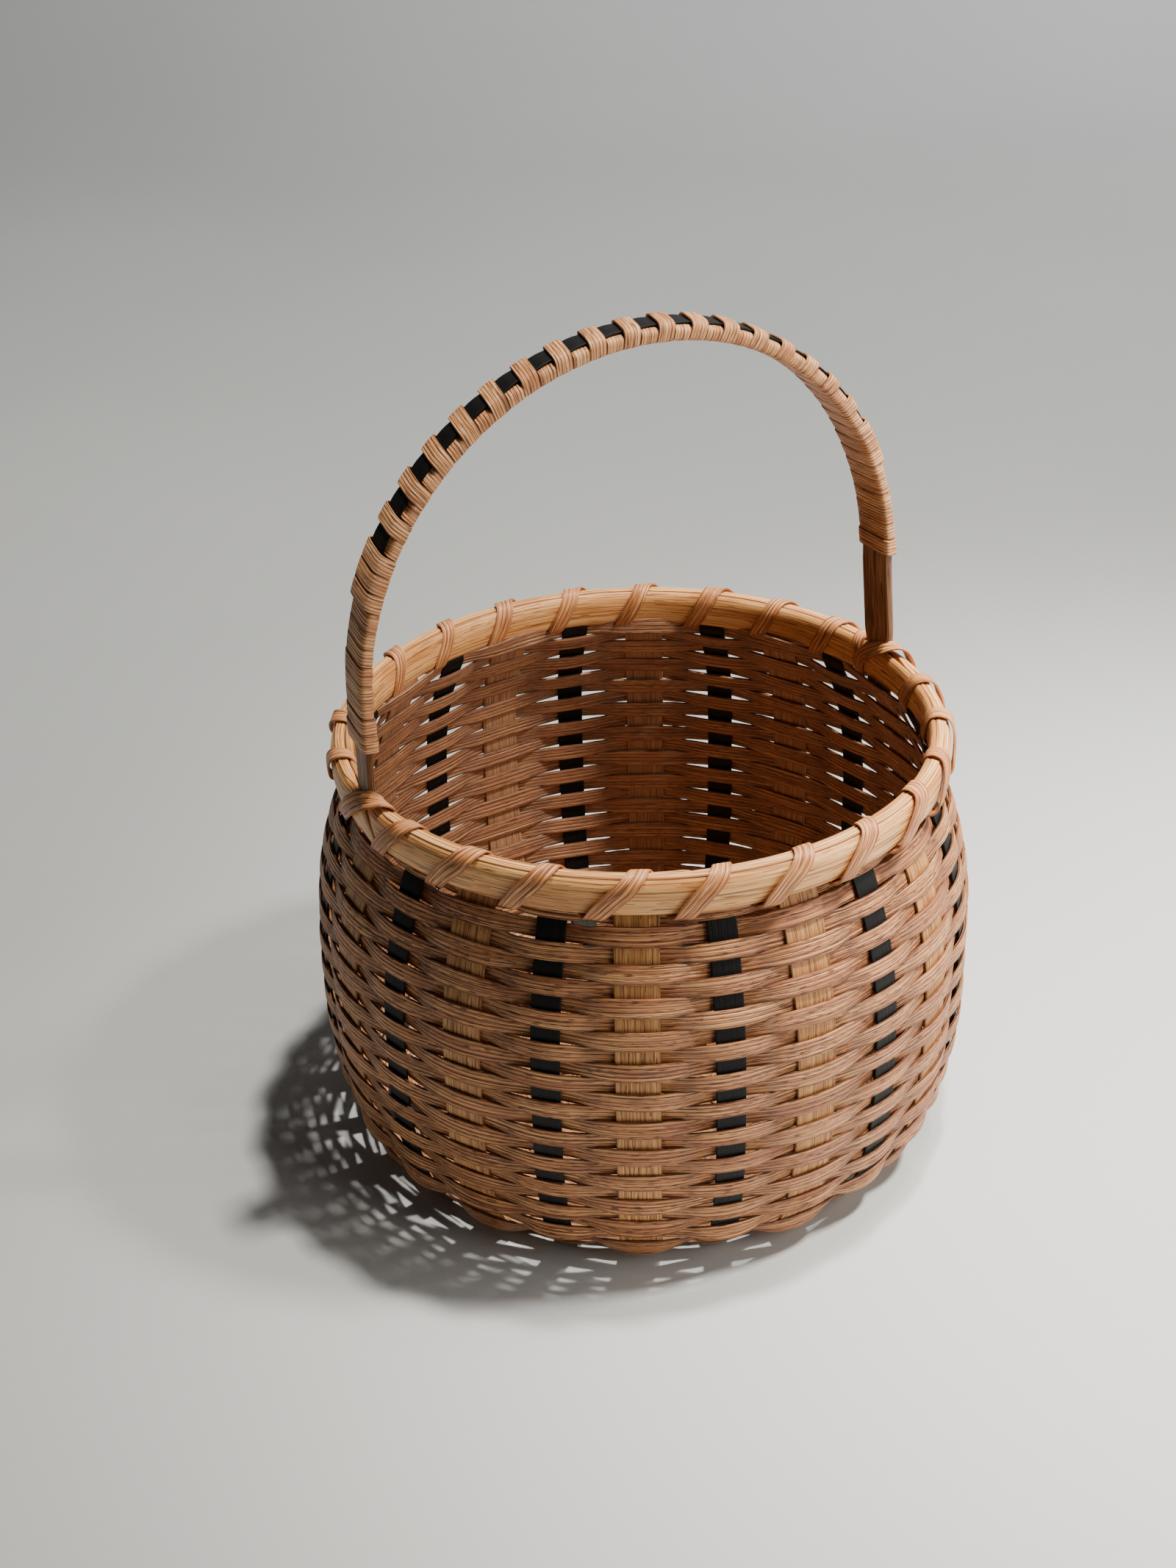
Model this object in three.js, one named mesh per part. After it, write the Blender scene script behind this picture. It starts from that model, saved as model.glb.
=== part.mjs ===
// Round treat basket of flat reed: a woven base and wall on 24 stakes, a lashed rim and a wrapped handle.
// Millimetres. The basket stands on z = 0, its axis is z, and the handle's arch lies in the plane y = 0.
import * as THREE from "three";

// Stakes: wide natural ones and narrow black ones take turns round the wall.
const STAKE_PAIRS = 12;
const NATURAL_WIDTH = 15.9;
const BLACK_WIDTH = 9.5;
const STAKE_THICKNESS = 1.0;

// Weaving: each row is a ring of flat reed that passes inside one stake and outside the next.
const WALL_ROWS = 28;
const BASE_ROWS = 4;
const CENTRE_ROWS = 2;
const WEAVER_THICKNESS = 1.1;
const ROW_GAP = 0.4;
const BASE_ROW_GAP = 1.5;

// Shape of the wall, from the floor up.
const BELLY_RADIUS = 125.5;
const NECK_RADIUS = 111.8;
const HEEL_RADIUS = 23.3;
const HEEL_LEAN = 18.7;
const LOWER_WALL_RADIUS = 147;
const BELLY_TOP = 95;
const NECK_HEIGHT = 155;
const RIM_TOP = 168.7;
const DOME_ANGLE = 4.5;
const CROSSING_RADIUS = 31;
const CROSSING_RAMP = 7.5;

// Rim: two bands with a filler in the groove between their top edges, bound by one lashing.
const RIM_HEIGHT = 12.3;
const INNER_BAND_THICKNESS = 2.2;
const OUTER_BAND_THICKNESS = 3.9;
const GROOVE_DEPTH = 1.8;
const INNER_CHAMFER = 1.0;
const OUTER_CHAMFER = 1.6;
const FILLER_CROWN = 0.35;
const LASHING_WIDTH = 5.5;
const LASHING_THICKNESS = 0.9;
const LASHING_SLOT = 3.2;
const LASHING_SLANT = 6.7;

// Handle: a flat hoop whose tongues stand between the rim bands, a black strand on it and a wrapping.
const HANDLE_WIDTH = 12.7;
const HANDLE_THICKNESS = 3.6;
const TONGUE_THICKNESS = 1.0;
const HANDLE_CENTRE_HEIGHT = 207;
const OVERLAY_WIDTH = 9.5;
const OVERLAY_THICKNESS = 1.0;
const OVERLAY_FIRST_STEP = 3;
const WRAP_LOOPS = 24;
const WRAP_WIDTH = 10.5;
const WRAP_THICKNESS = 0.8;
const WRAP_START_HEIGHT = 188.5;
const WRAP_END_HEIGHT = 204;

// Fits between pieces that touch.
const CLEARANCE = 0.3;
const LASHING_CLEARANCE = 0.45;
const WRAP_CLEARANCE = 0.6;

// Fineness of the curved pieces.
const RIM_STEPS = 48;
const ARCH_STEPS = 24;
const PROFILE_STEPS = 40;

const radians = THREE.MathUtils.degToRad;
const STAKES = 2 * STAKE_PAIRS;
const STAKE_STEP = 2 * Math.PI / STAKES;
const WEAVER_OFFSET = STAKE_THICKNESS / 2 + CLEARANCE + WEAVER_THICKNESS / 2;
const STAKE_FLOOR = WEAVER_OFFSET + WEAVER_THICKNESS / 2;
const RIM_BOTTOM = RIM_TOP - RIM_HEIGHT;

const MATERIALS = {
  weaver_reed: new THREE.MeshStandardMaterial({ color: 0xa9744e, roughness: 0.6, metalness: 0 }),
  natural_reed: new THREE.MeshStandardMaterial({ color: 0xb98a4e, roughness: 0.6, metalness: 0 }),
  black_reed: new THREE.MeshStandardMaterial({ color: 0x15120f, roughness: 0.55, metalness: 0 }),
  rim_reed: new THREE.MeshStandardMaterial({ color: 0xcf9f62, roughness: 0.5, metalness: 0 }),
  lashing_reed: new THREE.MeshStandardMaterial({ color: 0xcb9670, roughness: 0.55, metalness: 0 }),
  handle_reed: new THREE.MeshStandardMaterial({ color: 0x7a4c2a, roughness: 0.55, metalness: 0 }),
};

const group = new THREE.Group();

function add(name, material, geometry) {
  const mesh = new THREE.Mesh(geometry, MATERIALS[material]);
  mesh.name = name;
  group.add(mesh);
}

// Points in cylinder coordinates: radius and angle round the axis, then along the tangent there.
function place(radius, angle, height, tangential = 0) {
  return new THREE.Vector3(
    radius * Math.cos(angle) - tangential * Math.sin(angle),
    radius * Math.sin(angle) + tangential * Math.cos(angle),
    height,
  );
}

// A closed body through a run of like convex sections, joined end to start or capped at both ends.
function loft(sections, closed) {
  const corners = sections[0].length;
  const positions = sections.flat().flatMap((point) => point.toArray());
  const index = [];
  const spans = closed ? sections.length : sections.length - 1;
  for (let i = 0; i < spans; i += 1) {
    const here = i * corners;
    const there = ((i + 1) % sections.length) * corners;
    for (let k = 0; k < corners; k += 1) {
      const next = (k + 1) % corners;
      index.push(here + k, here + next, there + next);
      index.push(here + k, there + next, there + k);
    }
  }
  if (!closed) {
    const last = (sections.length - 1) * corners;
    for (let k = 1; k < corners - 1; k += 1) {
      index.push(0, k + 1, k);
      index.push(last, last + k, last + k + 1);
    }
  }
  if (signedVolume(sections.flat(), index) < 0) {
    index.reverse();
  }
  const geometry = new THREE.BufferGeometry();
  geometry.setAttribute("position", new THREE.Float32BufferAttribute(positions, 3));
  geometry.setIndex(index);
  geometry.computeVertexNormals();
  return geometry;
}

function signedVolume(points, index) {
  let volume = 0;
  const normal = new THREE.Vector3();
  for (let i = 0; i < index.length; i += 3) {
    normal.crossVectors(points[index[i + 1]], points[index[i + 2]]);
    volume += points[index[i]].dot(normal) / 6;
  }
  return volume;
}

// Four corners of a strip's section, from its middle, half width and half thickness vectors.
function stripSection(middle, halfWidth, halfThickness) {
  return [[1, 1], [-1, 1], [-1, -1], [1, -1]].map(([across, through]) => middle.clone()
    .addScaledVector(halfWidth, across)
    .addScaledVector(halfThickness, through));
}

// The stakes' mid surface from the heel up, as points of radius and height: the heel's arc, the long arc
// above it, the upright belly, and a smooth step in to the neck.
function wallProfile() {
  const lean = radians(90 - HEEL_LEAN);
  const heelStart = BELLY_RADIUS
    - LOWER_WALL_RADIUS * (1 - Math.sin(lean))
    - HEEL_RADIUS * Math.sin(lean);
  const heelCentre = new THREE.Vector2(heelStart, STAKE_FLOOR + HEEL_RADIUS);
  const inward = new THREE.Vector2(Math.sin(lean), -Math.cos(lean));
  const lowerCentre = heelCentre.clone().addScaledVector(inward, HEEL_RADIUS - LOWER_WALL_RADIUS);
  const points = [];
  const arcPoint = (centre, radius, turn) => new THREE.Vector2(Math.sin(turn), -Math.cos(turn))
    .multiplyScalar(radius)
    .add(centre);
  for (let i = 0; i <= PROFILE_STEPS; i += 1) {
    points.push(arcPoint(heelCentre, HEEL_RADIUS, lean * i / PROFILE_STEPS));
  }
  for (let i = 1; i <= PROFILE_STEPS; i += 1) {
    const turn = lean + (Math.PI / 2 - lean) * i / PROFILE_STEPS;
    points.push(arcPoint(lowerCentre, LOWER_WALL_RADIUS, turn));
  }
  for (let i = 0; i <= PROFILE_STEPS; i += 1) {
    const height = BELLY_TOP + (NECK_HEIGHT - BELLY_TOP) * i / PROFILE_STEPS;
    const share = THREE.MathUtils.smoothstep(height, BELLY_TOP, NECK_HEIGHT);
    points.push(new THREE.Vector2(BELLY_RADIUS + (NECK_RADIUS - BELLY_RADIUS) * share, height));
  }
  return points;
}

const profile = wallProfile();
const profileLengths = [0];
for (let i = 1; i < profile.length; i += 1) {
  profileLengths.push(profileLengths[i - 1] + profile[i].distanceTo(profile[i - 1]));
}

function profileAt(length) {
  let i = 1;
  while (i < profile.length - 1 && profileLengths[i] < length) {
    i += 1;
  }
  const share = (length - profileLengths[i - 1]) / (profileLengths[i] - profileLengths[i - 1]);
  return profile[i - 1].clone().lerp(profile[i], share);
}

function lengthAtHeight(height) {
  let i = profile.length - 1;
  while (i > 1 && profile[i - 1].y > height) {
    i -= 1;
  }
  const share = (height - profile[i - 1].y) / (profile[i].y - profile[i - 1].y);
  return profileLengths[i - 1] + share * (profileLengths[i] - profileLengths[i - 1]);
}

// The rows fill the wall from the ring that the basket stands on to the slot under the rim.
const ROW_PITCH = (lengthAtHeight(RIM_BOTTOM - LASHING_SLOT) + ROW_GAP / 2) / (WALL_ROWS - 1);
const WEAVER_WIDTH = ROW_PITCH - ROW_GAP;
const HEEL_START = profile[0].x;
const FOOT_INNER = HEEL_START - ROW_PITCH;

// The wall is made of flat facets, one row to each round the heel and two above it.
const heelRows = Math.ceil(HEEL_RADIUS * radians(90 - HEEL_LEAN) / ROW_PITCH);
const facetEnds = [];
for (let row = 0; row <= WALL_ROWS - 1; row += row < heelRows ? 1 : 2) {
  facetEnds.push(row);
}
if (facetEnds.at(-1) < WALL_ROWS - 1) {
  facetEnds.push(WALL_ROWS - 1);
}
const wallNodes = facetEnds.map((row) => profileAt(row * ROW_PITCH));

function coneHeight(radius) {
  return STAKE_FLOOR + (FOOT_INNER - radius) * Math.tan(radians(DOME_ANGLE));
}

// The base's rows share the space between the foot and the ramp to the crossing at the centre.
const BASE_OUTSIDE = FOOT_INNER - BASE_ROW_GAP;
const BASE_INSIDE = CROSSING_RADIUS + CROSSING_RAMP + BASE_ROW_GAP;
const BASE_ROW_PITCH = (BASE_OUTSIDE - BASE_INSIDE + BASE_ROW_GAP) / (BASE_ROWS + CENTRE_ROWS);
const BASE_WEAVER_WIDTH = BASE_ROW_PITCH - BASE_ROW_GAP;

// The flat frame of one row: its middle, the way up the wall and the way out of it.
function frameBetween(start, end, share) {
  const up = end.clone().sub(start).normalize();
  return { middle: start.clone().lerp(end, share), up, out: new THREE.Vector2(up.y, -up.x) };
}

function wallRowFrame(row) {
  if (row === 0) {
    return frameBetween(new THREE.Vector2(FOOT_INNER, STAKE_FLOOR), profile[0], 0.5);
  }
  const along = row - 0.5;
  const facet = facetEnds.findIndex((end) => end > along) - 1;
  const share = (along - facetEnds[facet]) / (facetEnds[facet + 1] - facetEnds[facet]);
  return frameBetween(wallNodes[facet], wallNodes[facet + 1], share);
}

function baseRowFrame(row) {
  const radius = BASE_OUTSIDE - BASE_WEAVER_WIDTH / 2 - (row - 1) * BASE_ROW_PITCH;
  const dome = radians(DOME_ANGLE);
  const up = new THREE.Vector2(Math.cos(dome), -Math.sin(dome));
  return { middle: new THREE.Vector2(radius, coneHeight(radius)), up, out: new THREE.Vector2(up.y, -up.x) };
}

// How far out of the stakes a weaver stands at a narrow stake that it crosses with a single bend, so that
// it clears that stake's edges on its way from the flat run at the wide stake.
function bendOffset(frame, side) {
  const flank = NATURAL_WIDTH / 2 + CLEARANCE;
  const radial = frame.middle.x - side * WEAVER_OFFSET * frame.out.x;
  const away = radial * Math.sin(STAKE_STEP) - flank * Math.cos(STAKE_STEP);
  const rise = (radial * Math.cos(STAKE_STEP) + flank * Math.sin(STAKE_STEP) - frame.middle.x) * frame.out.x
    - side * WEAVER_OFFSET * frame.out.y ** 2;
  const share = (BLACK_WIDTH / 2 + CLEARANCE) / away;
  return (side * WEAVER_OFFSET - rise * share) / (1 - share);
}

// One closed ring of flat reed. Stakes are listed by angle, width and the side that the ring passes on.
function weaverRing(frame, width, crossings) {
  const sections = [];
  for (const { angle, flat, offset } of crossings) {
    const radial = place(1, angle, 0);
    const lift = new THREE.Vector3(0, 0, 1);
    const halfWidth = radial.clone().multiplyScalar(frame.up.x).addScaledVector(lift, frame.up.y)
      .multiplyScalar(width / 2);
    const halfThickness = radial.clone().multiplyScalar(frame.out.x).addScaledVector(lift, frame.out.y)
      .multiplyScalar(WEAVER_THICKNESS / 2);
    const radius = frame.middle.x + offset * frame.out.x;
    const height = frame.middle.y + offset * frame.out.y;
    for (const tangential of flat > 0 ? [-flat, flat] : [0]) {
      sections.push(stripSection(place(radius, angle, height, tangential), halfWidth, halfThickness));
    }
  }
  return loft(sections, true);
}

// A ring over all the stakes. Outer rows pass outside the natural stakes and inside the black ones.
function stakeCrossings(frame, outsideNatural, bentAtBlack) {
  const naturalSide = outsideNatural ? 1 : -1;
  const crossings = [];
  for (let stake = 0; stake < STAKES; stake += 1) {
    const natural = stake % 2 === 0;
    const side = natural ? naturalSide : -naturalSide;
    const width = natural ? NATURAL_WIDTH : BLACK_WIDTH;
    const bent = bentAtBlack && !natural;
    crossings.push({
      angle: stake * STAKE_STEP,
      flat: bent ? 0 : width / 2 + CLEARANCE,
      offset: bent ? bendOffset(frame, side) : side * WEAVER_OFFSET,
    });
  }
  return crossings;
}

// Wall rows, from the ring on the floor up to the rim.
for (let row = 0; row < WALL_ROWS; row += 1) {
  const frame = wallRowFrame(row);
  const crossings = stakeCrossings(frame, row % 2 === 0, row > heelRows);
  const name = `wall_weaver_${String(row + 1).padStart(2, "0")}`;
  add(name, "weaver_reed", weaverRing(frame, WEAVER_WIDTH, crossings));
}

// Base rows, from the foot inwards, over all the stakes.
for (let row = 1; row <= BASE_ROWS; row += 1) {
  const frame = baseRowFrame(row);
  const crossings = stakeCrossings(frame, row % 2 === 0, false);
  add(`base_weaver_${row}`, "weaver_reed", weaverRing(frame, BASE_WEAVER_WIDTH, crossings));
}

// Centre rows, over the natural stakes alone, where the black ones haven't started.
for (let row = 1; row <= CENTRE_ROWS; row += 1) {
  const frame = baseRowFrame(BASE_ROWS + row);
  const crossings = [];
  for (let stake = 0; stake < STAKE_PAIRS; stake += 1) {
    const side = (stake + row) % 2 === 0 ? 1 : -1;
    crossings.push({
      angle: 2 * stake * STAKE_STEP,
      flat: NATURAL_WIDTH / 2 + CLEARANCE,
      offset: side * WEAVER_OFFSET,
    });
  }
  add(`centre_weaver_${row}`, "weaver_reed", weaverRing(frame, BASE_WEAVER_WIDTH, crossings));
}

// A flat stake along a path of signed radius and height in the upright plane at one angle.
function stakeStrip(path, angle, width) {
  const across = place(0, angle, 0, width / 2);
  const sections = path.map((point, i) => {
    const before = path[Math.max(i - 1, 0)];
    const after = path[Math.min(i + 1, path.length - 1)];
    const arriving = i > 0 ? point.clone().sub(before).normalize() : after.clone().sub(point).normalize();
    const leaving = i < path.length - 1 ? after.clone().sub(point).normalize() : arriving.clone();
    const along = arriving.clone().add(leaving).normalize();
    const mitre = STAKE_THICKNESS / 2 / along.dot(leaving);
    const through = place(along.y * mitre, angle, -along.x * mitre);
    return stripSection(place(point.x, angle, point.y), across, through);
  });
  return loft(sections, false);
}

// The stakes' path up the wall, ending under the filler or, at the handle, under its tongue.
const STAKE_TOP = RIM_TOP - GROOVE_DEPTH;
const TONGUE_BOTTOM = RIM_BOTTOM + CLEARANCE;
function wallPath(top) {
  return [
    new THREE.Vector2(FOOT_INNER, STAKE_FLOOR),
    ...wallNodes,
    new THREE.Vector2(NECK_RADIUS, RIM_BOTTOM - 2 * CLEARANCE),
    new THREE.Vector2(NECK_RADIUS, top),
  ];
}

// Natural stakes run right through: up one side, over the others at the centre, and up the other side.
const CROSSING_LAYER = STAKE_THICKNESS + CLEARANCE;
const CROSSING_HEIGHT = coneHeight(CROSSING_RADIUS + CROSSING_RAMP);
for (let spoke = 0; spoke < STAKE_PAIRS / 2; spoke += 1) {
  const atHandle = spoke === 0;
  const layer = CROSSING_HEIGHT + (spoke - (STAKE_PAIRS / 2 - 1) / 2) * CROSSING_LAYER;
  const half = [
    new THREE.Vector2(CROSSING_RADIUS, layer),
    new THREE.Vector2(CROSSING_RADIUS + CROSSING_RAMP, CROSSING_HEIGHT),
    ...wallPath(atHandle ? TONGUE_BOTTOM - CLEARANCE : STAKE_TOP - CLEARANCE),
  ];
  const mirrored = half.map((point) => new THREE.Vector2(-point.x, point.y)).reverse();
  add(`natural_stake_${spoke + 1}`, "natural_reed",
    stakeStrip([...mirrored, ...half], 2 * spoke * STAKE_STEP, NATURAL_WIDTH));
}

// Black stakes start under the base's inner rows and go up the wall.
const BLACK_START = BASE_OUTSIDE - BASE_ROWS * BASE_ROW_PITCH + BASE_ROW_GAP / 2;
for (let stake = 0; stake < STAKE_PAIRS; stake += 1) {
  const path = [
    new THREE.Vector2(BLACK_START, coneHeight(BLACK_START)),
    ...wallPath(STAKE_TOP - CLEARANCE),
  ];
  add(`black_stake_${String(stake + 1).padStart(2, "0")}`, "black_reed",
    stakeStrip(path, (2 * stake + 1) * STAKE_STEP, BLACK_WIDTH));
}

// Rim bands: rings of flat facets, one at each stake and each gap, chamfered where they face each other at
// the top to make the filler's groove. Radii are those of the facets.
const INNER_BAND_OUTSIDE = NECK_RADIUS - STAKE_THICKNESS / 2 - CLEARANCE;
const INNER_BAND_INSIDE = INNER_BAND_OUTSIDE - INNER_BAND_THICKNESS;
const OUTER_BAND_INSIDE = NECK_RADIUS + STAKE_THICKNESS / 2 + CLEARANCE;
const OUTER_BAND_OUTSIDE = OUTER_BAND_INSIDE + OUTER_BAND_THICKNESS;

const RIM_STEP = 2 * Math.PI / RIM_STEPS;
const rimCorners = Array.from({ length: RIM_STEPS }, (_, i) => (i + 0.5) * RIM_STEP);

function band(profilePoints, angles, closed) {
  const sections = angles.map((angle) => {
    const stretch = 1 / Math.cos(angle - Math.round(angle / RIM_STEP) * RIM_STEP);
    return profilePoints.map(([radius, height]) => place(radius * stretch, angle, height));
  });
  return loft(sections, closed);
}

add("inner_rim_band", "rim_reed", band([
  [INNER_BAND_INSIDE, RIM_BOTTOM],
  [INNER_BAND_OUTSIDE, RIM_BOTTOM],
  [INNER_BAND_OUTSIDE, RIM_TOP - GROOVE_DEPTH],
  [INNER_BAND_OUTSIDE - INNER_CHAMFER, RIM_TOP],
  [INNER_BAND_INSIDE, RIM_TOP],
], rimCorners, true));
add("outer_rim_band", "rim_reed", band([
  [OUTER_BAND_INSIDE, RIM_BOTTOM],
  [OUTER_BAND_OUTSIDE, RIM_BOTTOM],
  [OUTER_BAND_OUTSIDE, RIM_TOP],
  [OUTER_BAND_INSIDE + OUTER_CHAMFER, RIM_TOP],
  [OUTER_BAND_INSIDE, RIM_TOP - GROOVE_DEPTH],
], rimCorners, true));

// The filler fits the groove and is cut at the handle, so it is two strips.
const FILLER_TOP = RIM_TOP + FILLER_CROWN;
const FILLER_BOTTOM = STAKE_TOP + CLEARANCE;
function grooveFace(base, run, direction, height) {
  const slope = Math.hypot(run, GROOVE_DEPTH);
  const clear = CLEARANCE * slope / GROOVE_DEPTH;
  return base + direction * (run * (height - STAKE_TOP) / GROOVE_DEPTH - clear);
}
const fillerProfile = [
  [grooveFace(INNER_BAND_OUTSIDE, INNER_CHAMFER, -1, FILLER_BOTTOM), FILLER_BOTTOM],
  [grooveFace(OUTER_BAND_INSIDE, OUTER_CHAMFER, 1, FILLER_BOTTOM), FILLER_BOTTOM],
  [grooveFace(OUTER_BAND_INSIDE, OUTER_CHAMFER, 1, FILLER_TOP), FILLER_TOP],
  [grooveFace(INNER_BAND_OUTSIDE, INNER_CHAMFER, -1, FILLER_TOP), FILLER_TOP],
];
const HANDLE_HALF_ANGLE = (HANDLE_WIDTH / 2 + CLEARANCE) / INNER_BAND_INSIDE;
const fillerEnds = [HANDLE_HALF_ANGLE, Math.PI - HANDLE_HALF_ANGLE];
const fillerCorners = rimCorners.filter((angle) => angle > fillerEnds[0] && angle < fillerEnds[1]);
const fillerAngles = [fillerEnds[0], ...fillerCorners, fillerEnds[1]];
const fillerOpposite = fillerAngles.map((angle) => angle + Math.PI);
add("rim_filler_back", "rim_reed", band(fillerProfile, fillerAngles, false));
add("rim_filler_front", "rim_reed", band(fillerProfile, fillerOpposite, false));

// Handle hoop: a tongue, a shoulder on the bands, an upright leg and half a circle, mirrored.
const SHOULDER_HEIGHT = RIM_TOP + CLEARANCE;
const legSections = [
  { height: TONGUE_BOTTOM, thickness: TONGUE_THICKNESS },
  { height: RIM_TOP - CLEARANCE / 2, thickness: TONGUE_THICKNESS },
  { height: SHOULDER_HEIGHT, thickness: HANDLE_THICKNESS },
];
function archFrame(turn) {
  const out = new THREE.Vector3(-Math.cos(turn), 0, Math.sin(turn));
  const centre = new THREE.Vector3(0, 0, HANDLE_CENTRE_HEIGHT);
  return { out, point: centre.addScaledVector(out, NECK_RADIUS) };
}
const across = new THREE.Vector3(0, 1, 0);
function handleSection(point, out, low, high, width) {
  const middle = point.clone().addScaledVector(out, (low + high) / 2);
  const halfThickness = out.clone().multiplyScalar((high - low) / 2);
  return stripSection(middle, across.clone().multiplyScalar(width / 2), halfThickness);
}
const hoopSections = [];
function legSection(side, { height, thickness }) {
  const point = new THREE.Vector3(side * NECK_RADIUS, 0, height);
  return handleSection(point, new THREE.Vector3(side, 0, 0), -thickness / 2, thickness / 2, HANDLE_WIDTH);
}
hoopSections.push(...legSections.map((section) => legSection(-1, section)));
for (let step = 0; step <= ARCH_STEPS; step += 1) {
  const { out, point } = archFrame(Math.PI * step / ARCH_STEPS);
  hoopSections.push(handleSection(point, out, -HANDLE_THICKNESS / 2, HANDLE_THICKNESS / 2, HANDLE_WIDTH));
}
hoopSections.push(...legSections.toReversed().map((section) => legSection(1, section)));
add("handle_hoop", "handle_reed", loft(hoopSections, false));

// The black strand lies on the hoop's outer face, over the top of the arch.
const OVERLAY_BOTTOM = HANDLE_THICKNESS / 2 + CLEARANCE;
const OVERLAY_TOP = OVERLAY_BOTTOM + OVERLAY_THICKNESS;
const overlaySections = [];
for (let step = OVERLAY_FIRST_STEP; step <= ARCH_STEPS - OVERLAY_FIRST_STEP; step += 1) {
  const { out, point } = archFrame(Math.PI * step / ARCH_STEPS);
  overlaySections.push(handleSection(point, out, OVERLAY_BOTTOM, OVERLAY_TOP, OVERLAY_WIDTH));
}
add("handle_black_strand", "black_reed", loft(overlaySections, false));

// A winding's least gap to itself, measured between corner points of turns at least half a turn apart.
function leastGap(sections, stationsPerTurn) {
  const parts = 4;
  const points = [];
  for (let i = 0; i < sections.length - 1; i += 1) {
    for (let part = 0; part < parts; part += 1) {
      points.push(sections[i].map((corner, k) => corner.clone().lerp(sections[i + 1][k], part / parts)));
    }
  }
  let least = Infinity;
  for (let i = 0; i < points.length; i += 1) {
    for (let j = i + stationsPerTurn * parts / 2; j < points.length; j += 1) {
      if (points[i][0].distanceTo(points[j][0]) < 3 * WRAP_WIDTH) {
        for (const corner of points[i]) {
          for (const other of points[j]) {
            least = Math.min(least, corner.distanceTo(other));
          }
        }
      }
    }
  }
  return least;
}

// Handle wrapping: one strip wound round the hoop and the black strand, up one leg, over and down the other.
const WRAP_SIDE = HANDLE_WIDTH / 2 + WRAP_CLEARANCE + WRAP_THICKNESS / 2;
const WRAP_OUTSIDE = OVERLAY_TOP + WRAP_CLEARANCE + WRAP_THICKNESS / 2;
const WRAP_INSIDE = -HANDLE_THICKNESS / 2 - WRAP_CLEARANCE - WRAP_THICKNESS / 2;
const WRAP_CORNER = WRAP_CLEARANCE;

function handleFrameAt(length) {
  const leg = HANDLE_CENTRE_HEIGHT - WRAP_START_HEIGHT;
  const arch = Math.PI * NECK_RADIUS;
  if (length < leg) {
    const point = new THREE.Vector3(-NECK_RADIUS, 0, WRAP_START_HEIGHT + length);
    return { point, out: new THREE.Vector3(-1, 0, 0), along: new THREE.Vector3(0, 0, 1) };
  }
  if (length > leg + arch) {
    const point = new THREE.Vector3(NECK_RADIUS, 0, HANDLE_CENTRE_HEIGHT - (length - leg - arch));
    return { point, out: new THREE.Vector3(1, 0, 0), along: new THREE.Vector3(0, 0, -1) };
  }
  const turn = (length - leg) / NECK_RADIUS;
  const { out, point } = archFrame(turn);
  return { point, out, along: new THREE.Vector3(Math.sin(turn), 0, Math.cos(turn)) };
}

// Stations of one turn, in order round the hoop: place out of its middle and across it, and facing.
const wrapStations = [
  [WRAP_INSIDE, -WRAP_SIDE + WRAP_CORNER, -1, 0],
  [WRAP_INSIDE + WRAP_CORNER, -WRAP_SIDE, 0, -1],
  [WRAP_OUTSIDE - WRAP_CORNER, -WRAP_SIDE, 0, -1],
  [WRAP_OUTSIDE, -WRAP_SIDE + WRAP_CORNER, 1, 0],
  [WRAP_OUTSIDE, WRAP_SIDE - WRAP_CORNER, 1, 0],
  [WRAP_OUTSIDE - WRAP_CORNER, WRAP_SIDE, 0, 1],
  [WRAP_INSIDE + WRAP_CORNER, WRAP_SIDE, 0, 1],
  [WRAP_INSIDE, WRAP_SIDE - WRAP_CORNER, -1, 0],
];
const wrapLengths = wrapStations.map(([out, side], i) => {
  const [nextOut, nextSide] = wrapStations[(i + 1) % wrapStations.length];
  return Math.hypot(nextOut - out, nextSide - side);
});
const wrapRound = wrapLengths.reduce((sum, length) => sum + length, 0);
const wrapTotal = (HANDLE_CENTRE_HEIGHT - WRAP_START_HEIGHT) + Math.PI * NECK_RADIUS
  + (HANDLE_CENTRE_HEIGHT - WRAP_END_HEIGHT) - WRAP_WIDTH;
const wrapSections = [];
for (let loop = 0; loop < WRAP_LOOPS; loop += 1) {
  let share = 0;
  wrapStations.forEach(([outward, sideways, facingOut, facingSide], i) => {
    const length = WRAP_WIDTH / 2 + wrapTotal * (loop + share / wrapRound) / WRAP_LOOPS;
    const { point, out, along } = handleFrameAt(length);
    const middle = point.clone().addScaledVector(out, outward).addScaledVector(across, sideways);
    const facing = out.clone().multiplyScalar(facingOut).addScaledVector(across, facingSide);
    wrapSections.push(stripSection(middle, along.clone().multiplyScalar(WRAP_WIDTH / 2),
      facing.multiplyScalar(WRAP_THICKNESS / 2)));
    share += wrapLengths[i];
  });
}
add("handle_wrapping", "lashing_reed", loft(wrapSections, false));
const wrapGap = leastGap(wrapSections, wrapStations.length);
console.log(`handle wrapping: least gap to itself ${wrapGap.toFixed(2)} mm`);

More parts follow.
